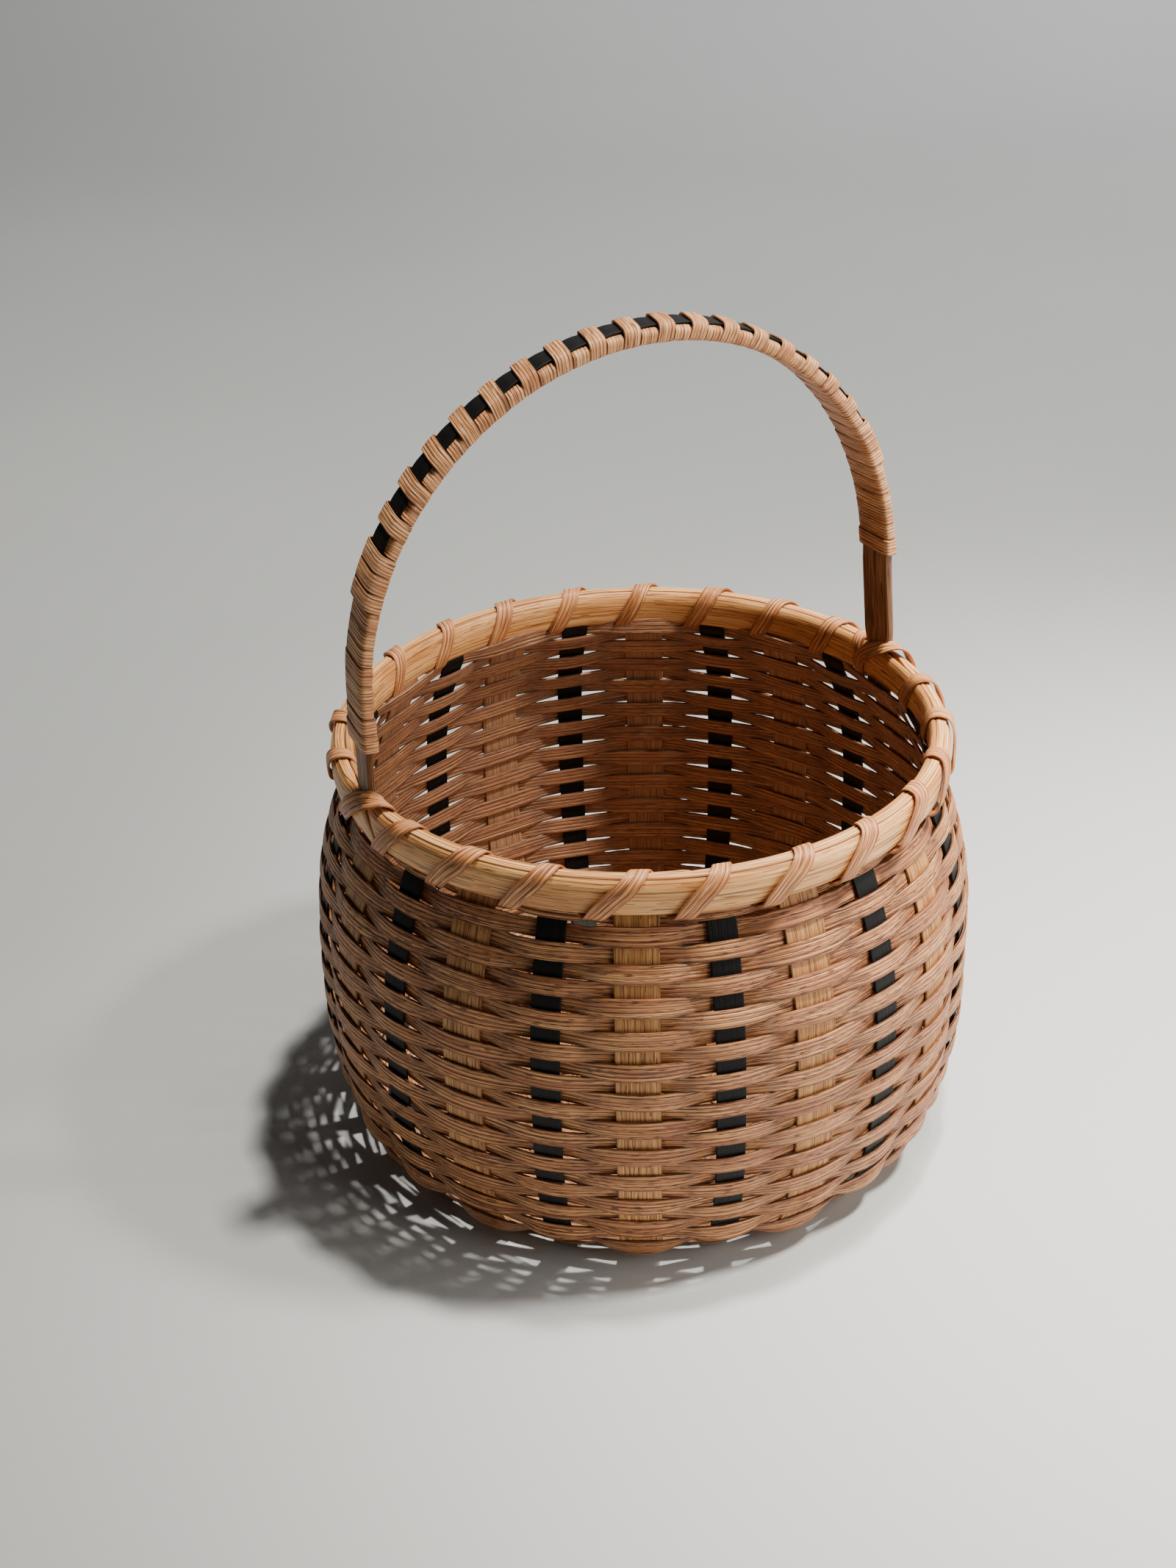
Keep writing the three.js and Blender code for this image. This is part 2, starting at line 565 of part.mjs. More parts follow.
// Rim lashing: one strip that goes once round the rim in each gap between stakes, and outside the handle's
// legs.
const LASH_SAG = OUTER_BAND_OUTSIDE * (1 - Math.cos(radians(LASHING_SLANT) / 2));
const LASH_OUT = OUTER_BAND_OUTSIDE / Math.cos(RIM_STEP / 2) + CLEARANCE + LASH_SAG + LASHING_THICKNESS / 2;
const LASH_IN = INNER_BAND_INSIDE - LASHING_CLEARANCE - LASHING_THICKNESS / 2;
const LASH_TOP = FILLER_TOP + LASHING_CLEARANCE + LASHING_THICKNESS / 2;
const LASH_BOTTOM = RIM_BOTTOM - LASHING_CLEARANCE - LASHING_THICKNESS / 2;
const LASH_LEG = NECK_RADIUS + HANDLE_THICKNESS / 2 + LASHING_CLEARANCE + LASHING_THICKNESS / 2;
const LASH_CORNER = LASHING_CLEARANCE;
const LASH_TOP_CORNER = 2 * LASHING_CLEARANCE;
const LASH_LEG_HEIGHT = LASH_TOP + LASHING_WIDTH / 2;
const LASH_STATIONS = 8;
const lashSections = [];

// One station: radius, height and angle, then its facing and its width as parts along the radius, the
// tangent and the height.
function lashStation(radius, height, angle, facing, spread) {
  const radial = place(1, angle, 0);
  const tangent = place(0, angle, 0, 1);
  const vector = ([r, t, z]) => radial.clone().multiplyScalar(r).addScaledVector(tangent, t)
    .add(new THREE.Vector3(0, 0, z));
  lashSections.push(stripSection(
    place(radius, angle, height),
    vector(spread).setLength(LASHING_WIDTH / 2),
    vector(facing).setLength(LASHING_THICKNESS / 2),
  ));
}

const OUTWARD = [1, 0, 0];
const INWARD = [-1, 0, 0];
const UPWARD = [0, 0, 1];
const DOWNWARD = [0, 0, -1];
const SIDEWAYS = [0, 1, 0];
const legTurn = (HANDLE_WIDTH / 2 + LASHING_THICKNESS) / LASH_LEG;
const lashWidthTurn = LASHING_WIDTH / LASH_IN;
for (let turn = 0; turn < STAKES; turn += 1) {
  const start = (turn - 0.5) * STAKE_STEP;
  const slant = radians(LASHING_SLANT);
  lashStation(LASH_IN, LASH_BOTTOM + LASH_CORNER, start, INWARD, SIDEWAYS);
  lashStation(LASH_IN + LASH_CORNER, LASH_BOTTOM, start, DOWNWARD, SIDEWAYS);
  lashStation(LASH_OUT - LASH_CORNER, LASH_BOTTOM, start, DOWNWARD, SIDEWAYS);
  lashStation(LASH_OUT, LASH_BOTTOM + LASH_CORNER, start, OUTWARD, SIDEWAYS);
  if (turn % (STAKES / 2) === 0) {
    const leg = start + STAKE_STEP / 2;
    lashStation(LASH_OUT, RIM_TOP - CLEARANCE, leg - legTurn - lashWidthTurn, OUTWARD, SIDEWAYS);
    lashStation((LASH_OUT + LASH_LEG) / 2, LASH_TOP + LASHING_CLEARANCE + LASHING_THICKNESS,
      leg - (LASH_LEG * legTurn + LASHING_WIDTH / 3) / LASH_LEG, [1, 0, 0.5], [0, 1, -1]);
    lashStation(LASH_LEG, LASH_LEG_HEIGHT, leg - legTurn, OUTWARD, DOWNWARD);
    lashStation(LASH_LEG, LASH_LEG_HEIGHT, leg + legTurn, OUTWARD, DOWNWARD);
    lashStation(LASH_LEG - LASHING_THICKNESS, LASH_LEG_HEIGHT - LASHING_THICKNESS,
      leg + legTurn + lashWidthTurn / 2, [0.5, 0.5, 0.71], [0.5, 0.5, -0.71]);
    lashStation(LASH_IN + LASH_TOP_CORNER, LASH_TOP, leg + legTurn + lashWidthTurn, UPWARD, SIDEWAYS);
    lashStation(LASH_IN, LASH_TOP - LASH_TOP_CORNER, leg + legTurn + lashWidthTurn, INWARD, SIDEWAYS);
  } else {
    const step = LASH_TOP_CORNER / LASH_OUT;
    lashStation(LASH_OUT, LASH_TOP - LASH_TOP_CORNER, start + slant, OUTWARD, SIDEWAYS);
    lashStation(LASH_OUT - LASH_TOP_CORNER, LASH_TOP, start + slant + step, UPWARD, SIDEWAYS);
    lashStation(LASH_IN + LASH_TOP_CORNER, LASH_TOP, start + STAKE_STEP - slant - step, UPWARD, SIDEWAYS);
    lashStation(LASH_IN, LASH_TOP - LASH_TOP_CORNER, start + STAKE_STEP - slant, INWARD, SIDEWAYS);
  }
}
add("rim_lashing", "lashing_reed", loft(lashSections, false));
const lashGap = leastGap(lashSections, LASH_STATIONS);
console.log(`rim lashing: least gap to itself ${lashGap.toFixed(2)} mm`);

export default group;
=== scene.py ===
import math

import bpy
import numpy as np
from mathutils import Matrix, Vector


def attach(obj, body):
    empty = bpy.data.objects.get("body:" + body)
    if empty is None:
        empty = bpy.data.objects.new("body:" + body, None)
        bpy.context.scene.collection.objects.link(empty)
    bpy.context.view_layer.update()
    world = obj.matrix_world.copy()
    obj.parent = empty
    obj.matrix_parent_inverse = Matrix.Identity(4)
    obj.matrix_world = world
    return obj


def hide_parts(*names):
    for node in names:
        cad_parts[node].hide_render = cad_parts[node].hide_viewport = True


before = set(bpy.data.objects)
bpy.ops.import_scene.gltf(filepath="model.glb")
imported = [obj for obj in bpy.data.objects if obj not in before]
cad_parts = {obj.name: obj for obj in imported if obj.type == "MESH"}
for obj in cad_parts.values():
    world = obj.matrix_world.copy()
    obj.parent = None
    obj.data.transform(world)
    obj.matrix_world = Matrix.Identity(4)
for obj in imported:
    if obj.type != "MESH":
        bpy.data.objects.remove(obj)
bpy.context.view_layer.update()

# Natural stakes: six strips of 16 mm flat reed, golden tan with dark flecks along the grain. They cross in
# layers at the centre of the base, run out over its shallow dome and turn up at the heel, so they make
# twelve uprights. In the wall each one bows a little away from the weavers that pass over it.
MM = 0.001
STAKE_THICKNESS = 1.0
NATURAL_WIDTH = 15.9
STAKE_STEP = math.pi / 12
FOOT = 95.7
FLOOR_OFFSET = 1.9
HEEL = 23.3
HEEL_TURN = math.radians(71.3)
DOME_EDGE = 89.8
DOME_ANGLE = math.radians(4.5)
LOWER_WALL = 147.0
BELLY = 125.5
SHOULDER_START = 85.0
SHOULDER_END = 152.0
SHOULDER = 150.0
NECK = 111.8
NECK_BEND = 8.5
STAKE_TOP = 166.0
STAKE_BOW = 0.18
UNDER_HANDLE = 157.0
CROSSING = 31.0
CROSSING_RAMP = 38.5
CROSSING_HEIGHT = 5.95
LAYER_STEP = 1.12
NATURAL_GOLD = (0.56, 0.245, 0.072)
NATURAL_PALE = (0.76, 0.40, 0.135)
NATURAL_FLECK = (0.15, 0.048, 0.012)


def wall_line():
    """The stakes' mid line as radius and height in mm: a shallow cone for the dome of the base, flat
    ground, the heel's arc, a long arc out to the belly, the shoulder's arc, and a cubic that ends upright
    in the rim."""
    cone = np.linspace(CROSSING, FOOT, 60)
    heel = np.linspace(0, HEEL_TURN, 40)[1:]
    lower = np.linspace(HEEL_TURN, math.pi / 2, 50)[1:]
    heel_height = FLOOR_OFFSET + HEEL
    lower_radius = FOOT + (HEEL - LOWER_WALL) * math.sin(HEEL_TURN)
    lower_height = heel_height - (HEEL - LOWER_WALL) * math.cos(HEEL_TURN)
    shoulder = np.linspace(0, math.asin((SHOULDER_END - SHOULDER_START) / SHOULDER), 60)
    bend = np.linspace(0, 1, 20)[1:]
    last = BELLY - SHOULDER * (1 - math.cos(shoulder[-1]))
    slope = -math.tan(shoulder[-1]) * NECK_BEND
    bend_radius = (last * (2 * bend**3 - 3 * bend**2 + 1) + slope * (bend**3 - 2 * bend**2 + bend)
                   + NECK * (3 * bend**2 - 2 * bend**3))
    radius = np.concatenate([
        cone, FOOT + HEEL * np.sin(heel), lower_radius + LOWER_WALL * np.sin(lower),
        BELLY - SHOULDER * (1 - np.cos(shoulder)), bend_radius, [NECK]])
    height = np.concatenate([
        FLOOR_OFFSET + np.clip(DOME_EDGE - cone, 0, None) * math.tan(DOME_ANGLE),
        heel_height - HEEL * np.cos(heel), lower_height - LOWER_WALL * np.cos(lower),
        SHOULDER_START + SHOULDER * np.sin(shoulder), SHOULDER_END + NECK_BEND * bend, [STAKE_TOP]])
    return radius, height


line_radius, line_height = wall_line()
line_length = np.concatenate([[0], np.cumsum(np.hypot(np.diff(line_radius), np.diff(line_height)))])
wall_length = np.linspace(0, line_length[-1], 900)
wall_radius = np.interp(wall_length, line_length, line_radius)
wall_height = np.interp(wall_length, line_length, line_height)
wall_rise = np.gradient(wall_height, wall_length)
wall_run = np.gradient(wall_radius, wall_length)

# On the base the line's radius only grows, and on the wall its height does.
on_base, on_wall = slice(0, 200), slice(300, 900)

# Arc lengths of the wall's rows: a pitch apart from the rim down, with the five lowest shared out from the
# foot to the heel. The third is eased up off the ground, and the last three are pushed up under the rim.
ROWS = 28
LOW_ROWS = 5
ROW_PITCH = 6.11
TOP_ROW_HEIGHT = 149.6
FOOT_ROW_RADIUS = 92.7
top_row = np.interp(TOP_ROW_HEIGHT, wall_height[on_wall], wall_length[on_wall])
foot_row = np.interp(FOOT_ROW_RADIUS, wall_radius[on_base], wall_length[on_base])
row_length = top_row - ROW_PITCH * np.arange(ROWS - 1, -1, -1.0)
row_length[:LOW_ROWS] = foot_row + (row_length[LOW_ROWS] - foot_row) * np.arange(LOW_ROWS) / LOW_ROWS
row_length[2] += 0.5
row_length[-3:] += [0.1, 0.7, 2.4]

# Where the back of the wall is, as a direction round the basket, and how far it swells there, in mm.
BACK = math.radians(62)
BACK_SWELL = 1.6
SHOULDER_SWELL = 3.4
SWELL_HEIGHT = 126.0
SWELL_SPREAD = 21.0


def backness(angle):
    """How much a direction faces the back: the fourth power of the cosine of its angle from the back."""
    return np.clip(np.cos(angle - BACK), 0, 1) ** 4


def back_swell(angle, height):
    """How far the wall stands out at the back, where the real basket isn't quite round: a little all the
    way up from 20 mm, in full from 70 mm, and a bell curve's more at the shoulder."""
    rise = np.clip((height - 20) / 50, 0, 1)
    bell = np.exp(-(((height - SWELL_HEIGHT) / SWELL_SPREAD) ** 2))
    return backness(angle) * (BACK_SWELL * rise + SHOULDER_SWELL * bell)


def unit(vectors):
    """Vectors scaled to length one, along the last axis."""
    return vectors / np.linalg.norm(vectors, axis=-1, keepdims=True)


def reed_outline(width, thickness, rounding, crown, faces):
    """A flat reed's section, in mm: two long faces of so many points, with a parabola's crown on the outer
    one, and two rounded edges. Points run round it once."""
    half, deep = width / 2 - rounding, thickness / 2
    share = np.sin(np.linspace(-math.pi / 2, math.pi / 2, faces))
    turn = np.radians([60.0, 30.0, 0.0, -30.0, -60.0])
    edge = np.stack([half + rounding * np.cos(turn), deep * np.sin(turn)], 1)
    outer = np.stack([half * share, deep + crown * (1 - share**2)], 1)
    inner = np.stack([-half * share, np.full(faces, -deep)], 1)
    return np.concatenate([outer, edge, inner, -edge])


def sweep(middle, wide, outline, wider=1.0, thicker=1.0, closed=False, shift=0.0, painted_shade=0.0):
    """A section carried along a path, in metres: point (i, k) is middle i, plus the width direction times
    the section's first number, plus the direction through the reed times its second. The direction
    through is the width crossed with the path's tangent. Shade is painted at the section's two edges, where
    shadow falls between strips, and added where the last argument says. Returns points, faces, UV lengths,
    end caps, and for each point its painted shade and whether it is on the inner face."""
    if closed:
        tangent = np.roll(middle, -1, 0) - np.roll(middle, 1, 0)
    else:
        tangent = np.gradient(middle, axis=0)
    tangent = unit(tangent)
    through = unit(np.cross(wide, tangent))
    wide = unit(np.cross(tangent, through))
    count, corners = len(middle), len(outline)
    across = np.broadcast_to(np.asarray(wider, float).reshape(-1, 1, 1), (count, 1, 1))
    deep = np.broadcast_to(np.asarray(thicker, float).reshape(-1, 1, 1), (count, 1, 1))
    points = (middle[:, None] + wide[:, None] * outline[None, :, :1] * across
              + through[:, None] * outline[None, :, 1:] * deep)
    spans = count if closed else count - 1
    i, k = np.meshgrid(np.arange(spans), np.arange(corners), indexing="ij")
    ahead, beside = (i + 1) % count, (k + 1) % corners
    near, far = i * corners, ahead * corners
    quads = np.stack([near + k, near + beside, far + beside, far + k], -1)
    steps = np.linalg.norm(np.roll(middle, -1, 0) - middle, axis=1)
    along = np.concatenate([[0], np.cumsum(steps[:spans])]) * MM + shift
    edges = np.linalg.norm(np.roll(outline, -1, 0) - outline, axis=1)
    around = np.concatenate([[0], np.cumsum(edges)]) * MM
    uv = np.stack([
        np.stack([along[i], around[k]], -1), np.stack([along[i], around[k + 1]], -1),
        np.stack([along[i + 1], around[k + 1]], -1), np.stack([along[i + 1], around[k]], -1)], 2)
    caps = [] if closed else [np.arange(corners)[::-1], (count - 1) * corners + np.arange(corners)]
    # Painted shade: the section's two edges are darkened, where shadow falls between strips, plus any shade
    # passed in.
    outward = np.abs(outline[:, 0]) / np.abs(outline[:, 0]).max()
    edge_shade = np.clip((outward - 0.86) / 0.14, 0, 1) * 0.8
    stain_and_shade = edge_shade[None] + np.broadcast_to(painted_shade, (count,))[:, None]
    inner = np.broadcast_to(outline[:, 1] < 0, (count, corners))
    marks = np.stack([stain_and_shade.ravel(), inner.ravel()])
    return points.reshape(-1, 3) * MM, quads.reshape(-1, 4), uv.reshape(-1, 4, 2), caps, marks


def make_piece(name, strips, finish, tones):
    """One object out of swept strips. Each strip turns its faces outwards by the sign of its volume. It
    carries its tone, from 0 to 1, in the attribute strand, its painted shade in a second attribute, and
    its inner face in the attribute inner."""
    points, loops, starts, uvs, strand, marked = ([] for _ in range(6))
    offset = place = 0
    for (verts, quads, uv, caps, marks), tone in zip(strips, tones):
        a, b, c, d = (verts[quads[:, k]] for k in range(4))
        volume = np.sum(a * np.cross(b, c)) + np.sum(a * np.cross(c, d))
        if volume < 0:
            quads, uv = quads[:, ::-1], uv[:, ::-1]
            caps = [cap[::-1] for cap in caps]
        points.append(verts)
        loops.append((quads + offset).ravel())
        starts.append(place + 4 * np.arange(len(quads)))
        place += 4 * len(quads)
        uvs.append(uv.reshape(-1, 2))
        for cap in caps:
            loops.append(cap + offset)
            starts.append(np.array([place]))
            place += len(cap)
            uvs.append(np.tile(uv.reshape(-1, 2)[:1], (len(cap), 1)))
        strand.append(np.full(len(verts), tone))
        marked.append(marks)
        offset += len(verts)
    points, loops, starts = np.concatenate(points), np.concatenate(loops), np.concatenate(starts)
    mesh = bpy.data.meshes.new(name)
    mesh.vertices.add(len(points))
    mesh.vertices.foreach_set("co", points.astype(np.float32).ravel())
    mesh.loops.add(len(loops))
    mesh.loops.foreach_set("vertex_index", loops.astype(np.int32))
    mesh.polygons.add(len(starts))
    mesh.polygons.foreach_set("loop_start", starts.astype(np.int32))
    mesh.polygons.foreach_set("use_smooth", np.ones(len(starts), bool))
    layer = mesh.uv_layers.new(name="UVMap")
    layer.data.foreach_set("uv", np.concatenate(uvs).astype(np.float32).ravel())
    stain_and_shade, inner = np.concatenate(marked, 1)
    for label, values in (("strand", np.concatenate(strand)), ("painted_shade", stain_and_shade), ("inner", inner)):
        attribute = mesh.attributes.new(label, "FLOAT", "POINT")
        attribute.data.foreach_set("value", values.astype(np.float32))
    mesh.update(calc_edges=True)
    mesh.validate()
    mesh.materials.append(finish)
    piece = bpy.data.objects.new(name, mesh)
    bpy.context.scene.collection.objects.link(piece)
    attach(piece, "root")
    return piece


class Wire:
    """A value in a material: the output of a node. Sums, products and the like add Math nodes."""

    def __init__(self, tree, socket=None):
        self.tree, self.socket = tree, socket

    def node(self, kind, sockets, settings=None, output=0):
        """A node of one type, with its settings, then the values or links of its sockets."""
        made = self.tree.nodes.new(kind)
        for name, value in (settings or {}).items():
            setattr(made, name, value)
        for name, value in sockets.items():
            if isinstance(value, Wire):
                self.tree.links.new(value.socket, made.inputs[name])
            else:
                made.inputs[name].default_value = value
        return Wire(self.tree, made.outputs[output])

    def maths(self, operation, *values):
        """This value through a Math node, with any second value after it."""
        return self.node("ShaderNodeMath", dict(enumerate((self, *values))), {"operation": operation})

    def __add__(self, other):
        return self.maths("ADD", other)

    def __radd__(self, other):
        return self.maths("ADD", other)

    def __sub__(self, other):
        return self.maths("SUBTRACT", other)

    def __rsub__(self, other):
        return (self * -1) + other

    def __mul__(self, other):
        return self.maths("MULTIPLY", other)

    def __rmul__(self, other):
        return self.maths("MULTIPLY", other)

    def step(self, low, high):
        """0 below low, 1 above high, smooth between."""
        return self.node("ShaderNodeMapRange", {"Value": self, "From Min": low, "From Max": high},
                         {"interpolation_type": "SMOOTHSTEP"})

    def blend(self, first, second):
        """The first colour where this is 0, the second where it is 1."""
        sockets = {0: self}
        for key, colour in ((6, first), (7, second)):
            sockets[key] = colour if isinstance(colour, Wire) else (*colour, 1)
        return self.node("ShaderNodeMix", sockets, {"data_type": "RGBA"}, output=2)

    def noise(self, along, across, depth, detail=2.0, roughness=0.5):
        """Noise stretched along the grain: one cell is so many mm along the reed and across it."""
        length = self.node("ShaderNodeSeparateXYZ", {0: self}, output=0)
        width = self.node("ShaderNodeSeparateXYZ", {0: self}, output=1)
        place = self.node("ShaderNodeCombineXYZ",
                          {0: length * (1000 / along), 1: width * (1000 / across), 2: depth})
        return self.node("ShaderNodeTexNoise",
                         {"Vector": place, "Scale": 1.0, "Detail": detail, "Roughness": roughness})

    def reed_lengths(self):
        """The UV map that follows each strip: metres along it and round its section."""
        return self.node("ShaderNodeUVMap", {}, {"uv_map": "UVMap"})

    def reed_mark(self, name):
        """One of the numbers that each strip carries: its tone in strand, its inner face in inner, or its
        painted shade.
        """
        return self.node("ShaderNodeAttribute", {}, {"attribute_name": name}, output=2)

    def bump(self, strength):
        """The surface's normal, with this as its height, up to half a millimetre."""
        return self.node("ShaderNodeBump", {"Strength": strength, "Distance": 0.0005, "Height": self})

    def feed(self, shader, name):
        """Links this value to one of the shader's sockets."""
        self.tree.links.new(self.socket, shader.inputs[name])


def new_finish(name):
    """An empty material, its shader node, and its tree as a wire."""
    finish = bpy.data.materials.new(name)
    finish.use_nodes = True
    tree = finish.node_tree
    tree.nodes.clear()
    shader = tree.nodes.new("ShaderNodeBsdfPrincipled")
    output = tree.nodes.new("ShaderNodeOutputMaterial")
    tree.links.new(shader.outputs[0], output.inputs[0])
    return finish, shader, Wire(tree)


# How far apart in the noise two strands lie, what deep stain leaves of each colour, and the inner face's
# painted shade.
STRAND_SPREAD = 37.0
STAIN_SHADE = (0.60, 0.48, 0.38)
INNER_SHADE_DARK = (0.20, 0.105, 0.060)
INNER_SHADE_PALE = (0.42, 0.25, 0.155)


def reed_finish(name, base, pale, dark, roughness, bump, line, run, dash, dashes,
                ridge=0.0, groove=0.4, inner=0.0, stained=0.4, shine=0.5):
    """Split reed: paler and darker lines along the grain, line mm wide and run mm long, in base, pale and
    dark. Rows of short dark dashes, dash mm long and wide, where pores were cut, more of them as dashes
    grows. Patches of stain, as deep as stained. Ribs every ridge mm with grooves as dark as groove. Painted
    shade at the edges and where each strip carries it, and on the inner face a painted shade, darker and
    duller, as strong as inner."""
    finish, shader, wire = new_finish(name)
    uv = wire.reed_lengths()
    tone = wire.reed_mark("strand")
    depth = tone * STRAND_SPREAD
    lines = uv.noise(run, line, depth)
    fibre = uv.noise(run / 5, line * 0.45, depth + 5.3)
    stain_and_shade = uv.noise(38.0, 9.0, depth + 7.7)
    rows = uv.noise(run, 0.9, depth + 17.9, detail=0.0)
    pores = uv.noise(*dash, depth + 11.3, detail=0.0)
    shaded = tuple(np.multiply(base, STAIN_SHADE).tolist())
    grain = lines * 0.5 + fibre * 0.5
    marks = pores.step(0.56, 0.64) * rows.step(0.62 - dashes * 0.25, 0.70 - dashes * 0.25)
    colour = grain.step(0.485, 0.585).blend(base, pale)
    colour = ((1 - grain.step(0.39, 0.48)) * 0.8).blend(colour, dark)
    colour = (stain_and_shade.step(0.45, 0.75) * stained + tone * 0.25).blend(colour, shaded)
    colour = (marks * 0.8).blend(colour, dark)
    relief = grain * 0.8 - marks * 0.3
    if ridge:
        width = wire.node("ShaderNodeSeparateXYZ", {0: uv}, output=1)
        ribs = (width * (2000 * math.pi / ridge) + lines * 3.0).maths("SINE") * 0.5 + 0.5
        colour = ((1 - ribs.step(0.0, 0.30)) * groove).blend(colour, dark)
        relief = relief * 0.6 + ribs.step(0.0, 0.6) * 0.7
    # Painted shade: each strip is darkened at its edges and where it dives under or behind another part.
    colour = (wire.reed_mark("painted_shade") * 0.7).blend(colour, dark)
    # Painted shade on the inner face: it is darker and duller, for the shaded inside of the basket.
    if inner:
        inner_shade = grain.step(0.38, 0.60).blend(INNER_SHADE_DARK, INNER_SHADE_PALE)
        colour = (wire.reed_mark("inner") * inner).blend(colour, inner_shade)
    colour.feed(shader, "Base Color")
    gloss = grain.step(0.3, 0.7) * 0.14 + (roughness - 0.05) + marks * 0.1
    gloss.feed(shader, "Roughness")
    shader.inputs["Specular IOR Level"].default_value = shine
    relief.bump(bump).feed(shader, "Normal")
    return finish


natural_reed = reed_finish("natural_reed_gold", NATURAL_GOLD, NATURAL_PALE, NATURAL_FLECK, 0.5, 0.4,
                           line=0.62, run=80.0, dash=(7.0, 0.45), dashes=0.6, inner=0.65)


def stake_bow(length, sign):
    """How far a stake bows out of the wall at an arc length: a cosine of the row's number, which fades in
    over the two lowest rows and out at the top one. The sign is 1 where even rows pass inside."""
    row = np.interp(length, row_length, np.arange(ROWS))
    inside = np.clip(row / 2, 0, 1) * np.clip(ROWS - 0.6 - row, 0, 1)
    return sign * STAKE_BOW * np.cos(math.pi * row) * inside


def stake_side(sign, start, cut=math.inf):
    """Half a stake's path, from an arc length outwards to the height where it is cut, as radius and
    height in mm: the wall's line, moved out of the wall by the bow."""
    length = np.arange(start, wall_length[-1], 1.2)
    bow = stake_bow(length, sign)
    radius = np.interp(length, wall_length, wall_radius) + np.interp(length, wall_length, wall_rise) * bow
    height = np.interp(length, wall_length, wall_height) - np.interp(length, wall_length, wall_run) * bow
    keep = height < cut
    return radius[keep], height[keep]


def stake_strip(radius, height, angle, outline, shift):
    """A stake in the upright plane at one angle, from its height and its radius, which is negative on the
    far side, with the back's swell added to the radius."""
    radius = radius + np.sign(radius) * back_swell(angle + np.where(radius < 0, math.pi, 0.0), height)
    middle = np.stack([radius * math.cos(angle), radius * math.sin(angle), height], 1)
    wide = np.broadcast_to([-math.sin(angle), math.cos(angle), 0.0], middle.shape)
    return sweep(middle, wide, outline, shift=shift)


# Each is flat in its own layer at the crossing, eases on to the dome by a cubic, and is the same both ways.
# The first is cut off under the handle's legs, which stand in its place between the rim bands.
natural_outline = reed_outline(NATURAL_WIDTH, STAKE_THICKNESS, 0.35, 0.12, 11)
cone_start = CROSSING_RAMP - CROSSING
level = np.linspace(1.5, CROSSING - 1.5, 14)
ramp = np.linspace(0, 1, 8)[:-1]
for spoke in range(6):
    radius, height = stake_side(-1, cone_start, UNDER_HANDLE if spoke == 0 else math.inf)
    layer = CROSSING_HEIGHT + (spoke - 2.5) * LAYER_STEP
    easing = layer + (height[0] - layer) * ramp**2 * (3 - 2 * ramp)
    radius = np.concatenate([level, CROSSING + ramp * cone_start, radius])
    height = np.concatenate([np.full_like(level, layer), easing, height])
    radius, height = np.concatenate([-radius[::-1], radius]), np.concatenate([height[::-1], height])
    strip = stake_strip(radius, height, 2 * spoke * STAKE_STEP, natural_outline, 0.9 * spoke)
    tone = 0.13 + 0.15 * spoke
    stake = make_piece(f"natural_stake_reed_{spoke + 1}", [strip], natural_reed, [tone])
    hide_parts(f"natural_stake_{spoke + 1}")

# Black stakes: twelve strips of 10.8 mm flat reed dyed black right through, with a faint satin line along
# the grain. They are tucked into the base between the natural ones and rise to the rim beside them.
BLACK_WIDTH = 10.8
BLACK_START_RADIUS = 56.5
BLACK_DYE = (0.0022, 0.0019, 0.0018)
BLACK_WORN = (0.012, 0.010, 0.009)


def black_finish():
    """Dyed reed: near black, worn a little lighter where scuffed patches of noise meet its fibres."""
    finish, shader, wire = new_finish("black_dyed_reed")
    uv = wire.reed_lengths()
    depth = wire.reed_mark("strand") * STRAND_SPREAD
    fibre = uv.noise(45.0, 0.9, depth, detail=3.0, roughness=0.6)
    scuff = uv.noise(16.0, 2.5, depth + 5.0)
    colour = (fibre.step(0.5, 0.75) * scuff.step(0.4, 0.7) * 0.8).blend(BLACK_DYE, BLACK_WORN)
    colour.feed(shader, "Base Color")
    gloss = fibre * 0.25 + 0.45
    gloss.feed(shader, "Roughness")
    shader.inputs["Specular IOR Level"].default_value = 0.25
    fibre.bump(0.45).feed(shader, "Normal")
    return finish


black_reed = black_finish()
black_outline = reed_outline(BLACK_WIDTH, STAKE_THICKNESS, 0.35, 0.10, 9)
black_start = np.interp(BLACK_START_RADIUS, wall_radius[on_base], wall_length[on_base])
for number in range(12):
    radius, height = stake_side(1, black_start)
    strip = stake_strip(radius, height, (2 * number + 1) * STAKE_STEP, black_outline, 0.7 * number)
    stake = make_piece(f"black_stake_reed_{number + 1:02d}", [strip], black_reed, [number / 11])
    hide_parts(f"black_stake_{number + 1:02d}")

# Weavers: 28 single rings of 7.5 mm ribbed flat reed, stained a warm reddish brown. Each passes outside one
# stake and inside the next, and the rows take turns, so the wide stakes and the black ones show as squares.
# Where rows change sides their edges press together. The low rows stand up in scallops round the foot.
WEAVER_WIDTH = 7.45
LOW_EXTRA_WIDTH = 0.5
WEAVER_THICKNESS = 1.05
RING_POINTS = 576
BACK_LIFT = 3.2
TOP_BACK_LIFT = 2.0
STAND_ANGLE = math.radians(20)
STAND_PIVOT = 0.42
WEAVER_TAN = (0.58, 0.200, 0.066)
WEAVER_PALE = (0.96, 0.53, 0.215)
WEAVER_DARK = (0.060, 0.016, 0.005)
weaver_reed = reed_finish("weaver_reed_brown", WEAVER_TAN, WEAVER_PALE, WEAVER_DARK, 0.50, 1.0,
                          line=0.5, run=100.0, dash=(4.2, 0.36), dashes=0.9, ridge=1.8, groove=0.5,
                          inner=0.40)


def wander(angle, rng, size, waves):
    """A smooth wander round a ring: a sum of sines of random height and phase."""
    order = np.arange(1, waves + 1)[:, None]
    height = rng.normal(size=(waves, 1)) / math.sqrt(waves)
    phase = rng.uniform(0, 2 * math.pi, (waves, 1))
    return size * (height * np.sin(order * angle + phase)).sum(0)


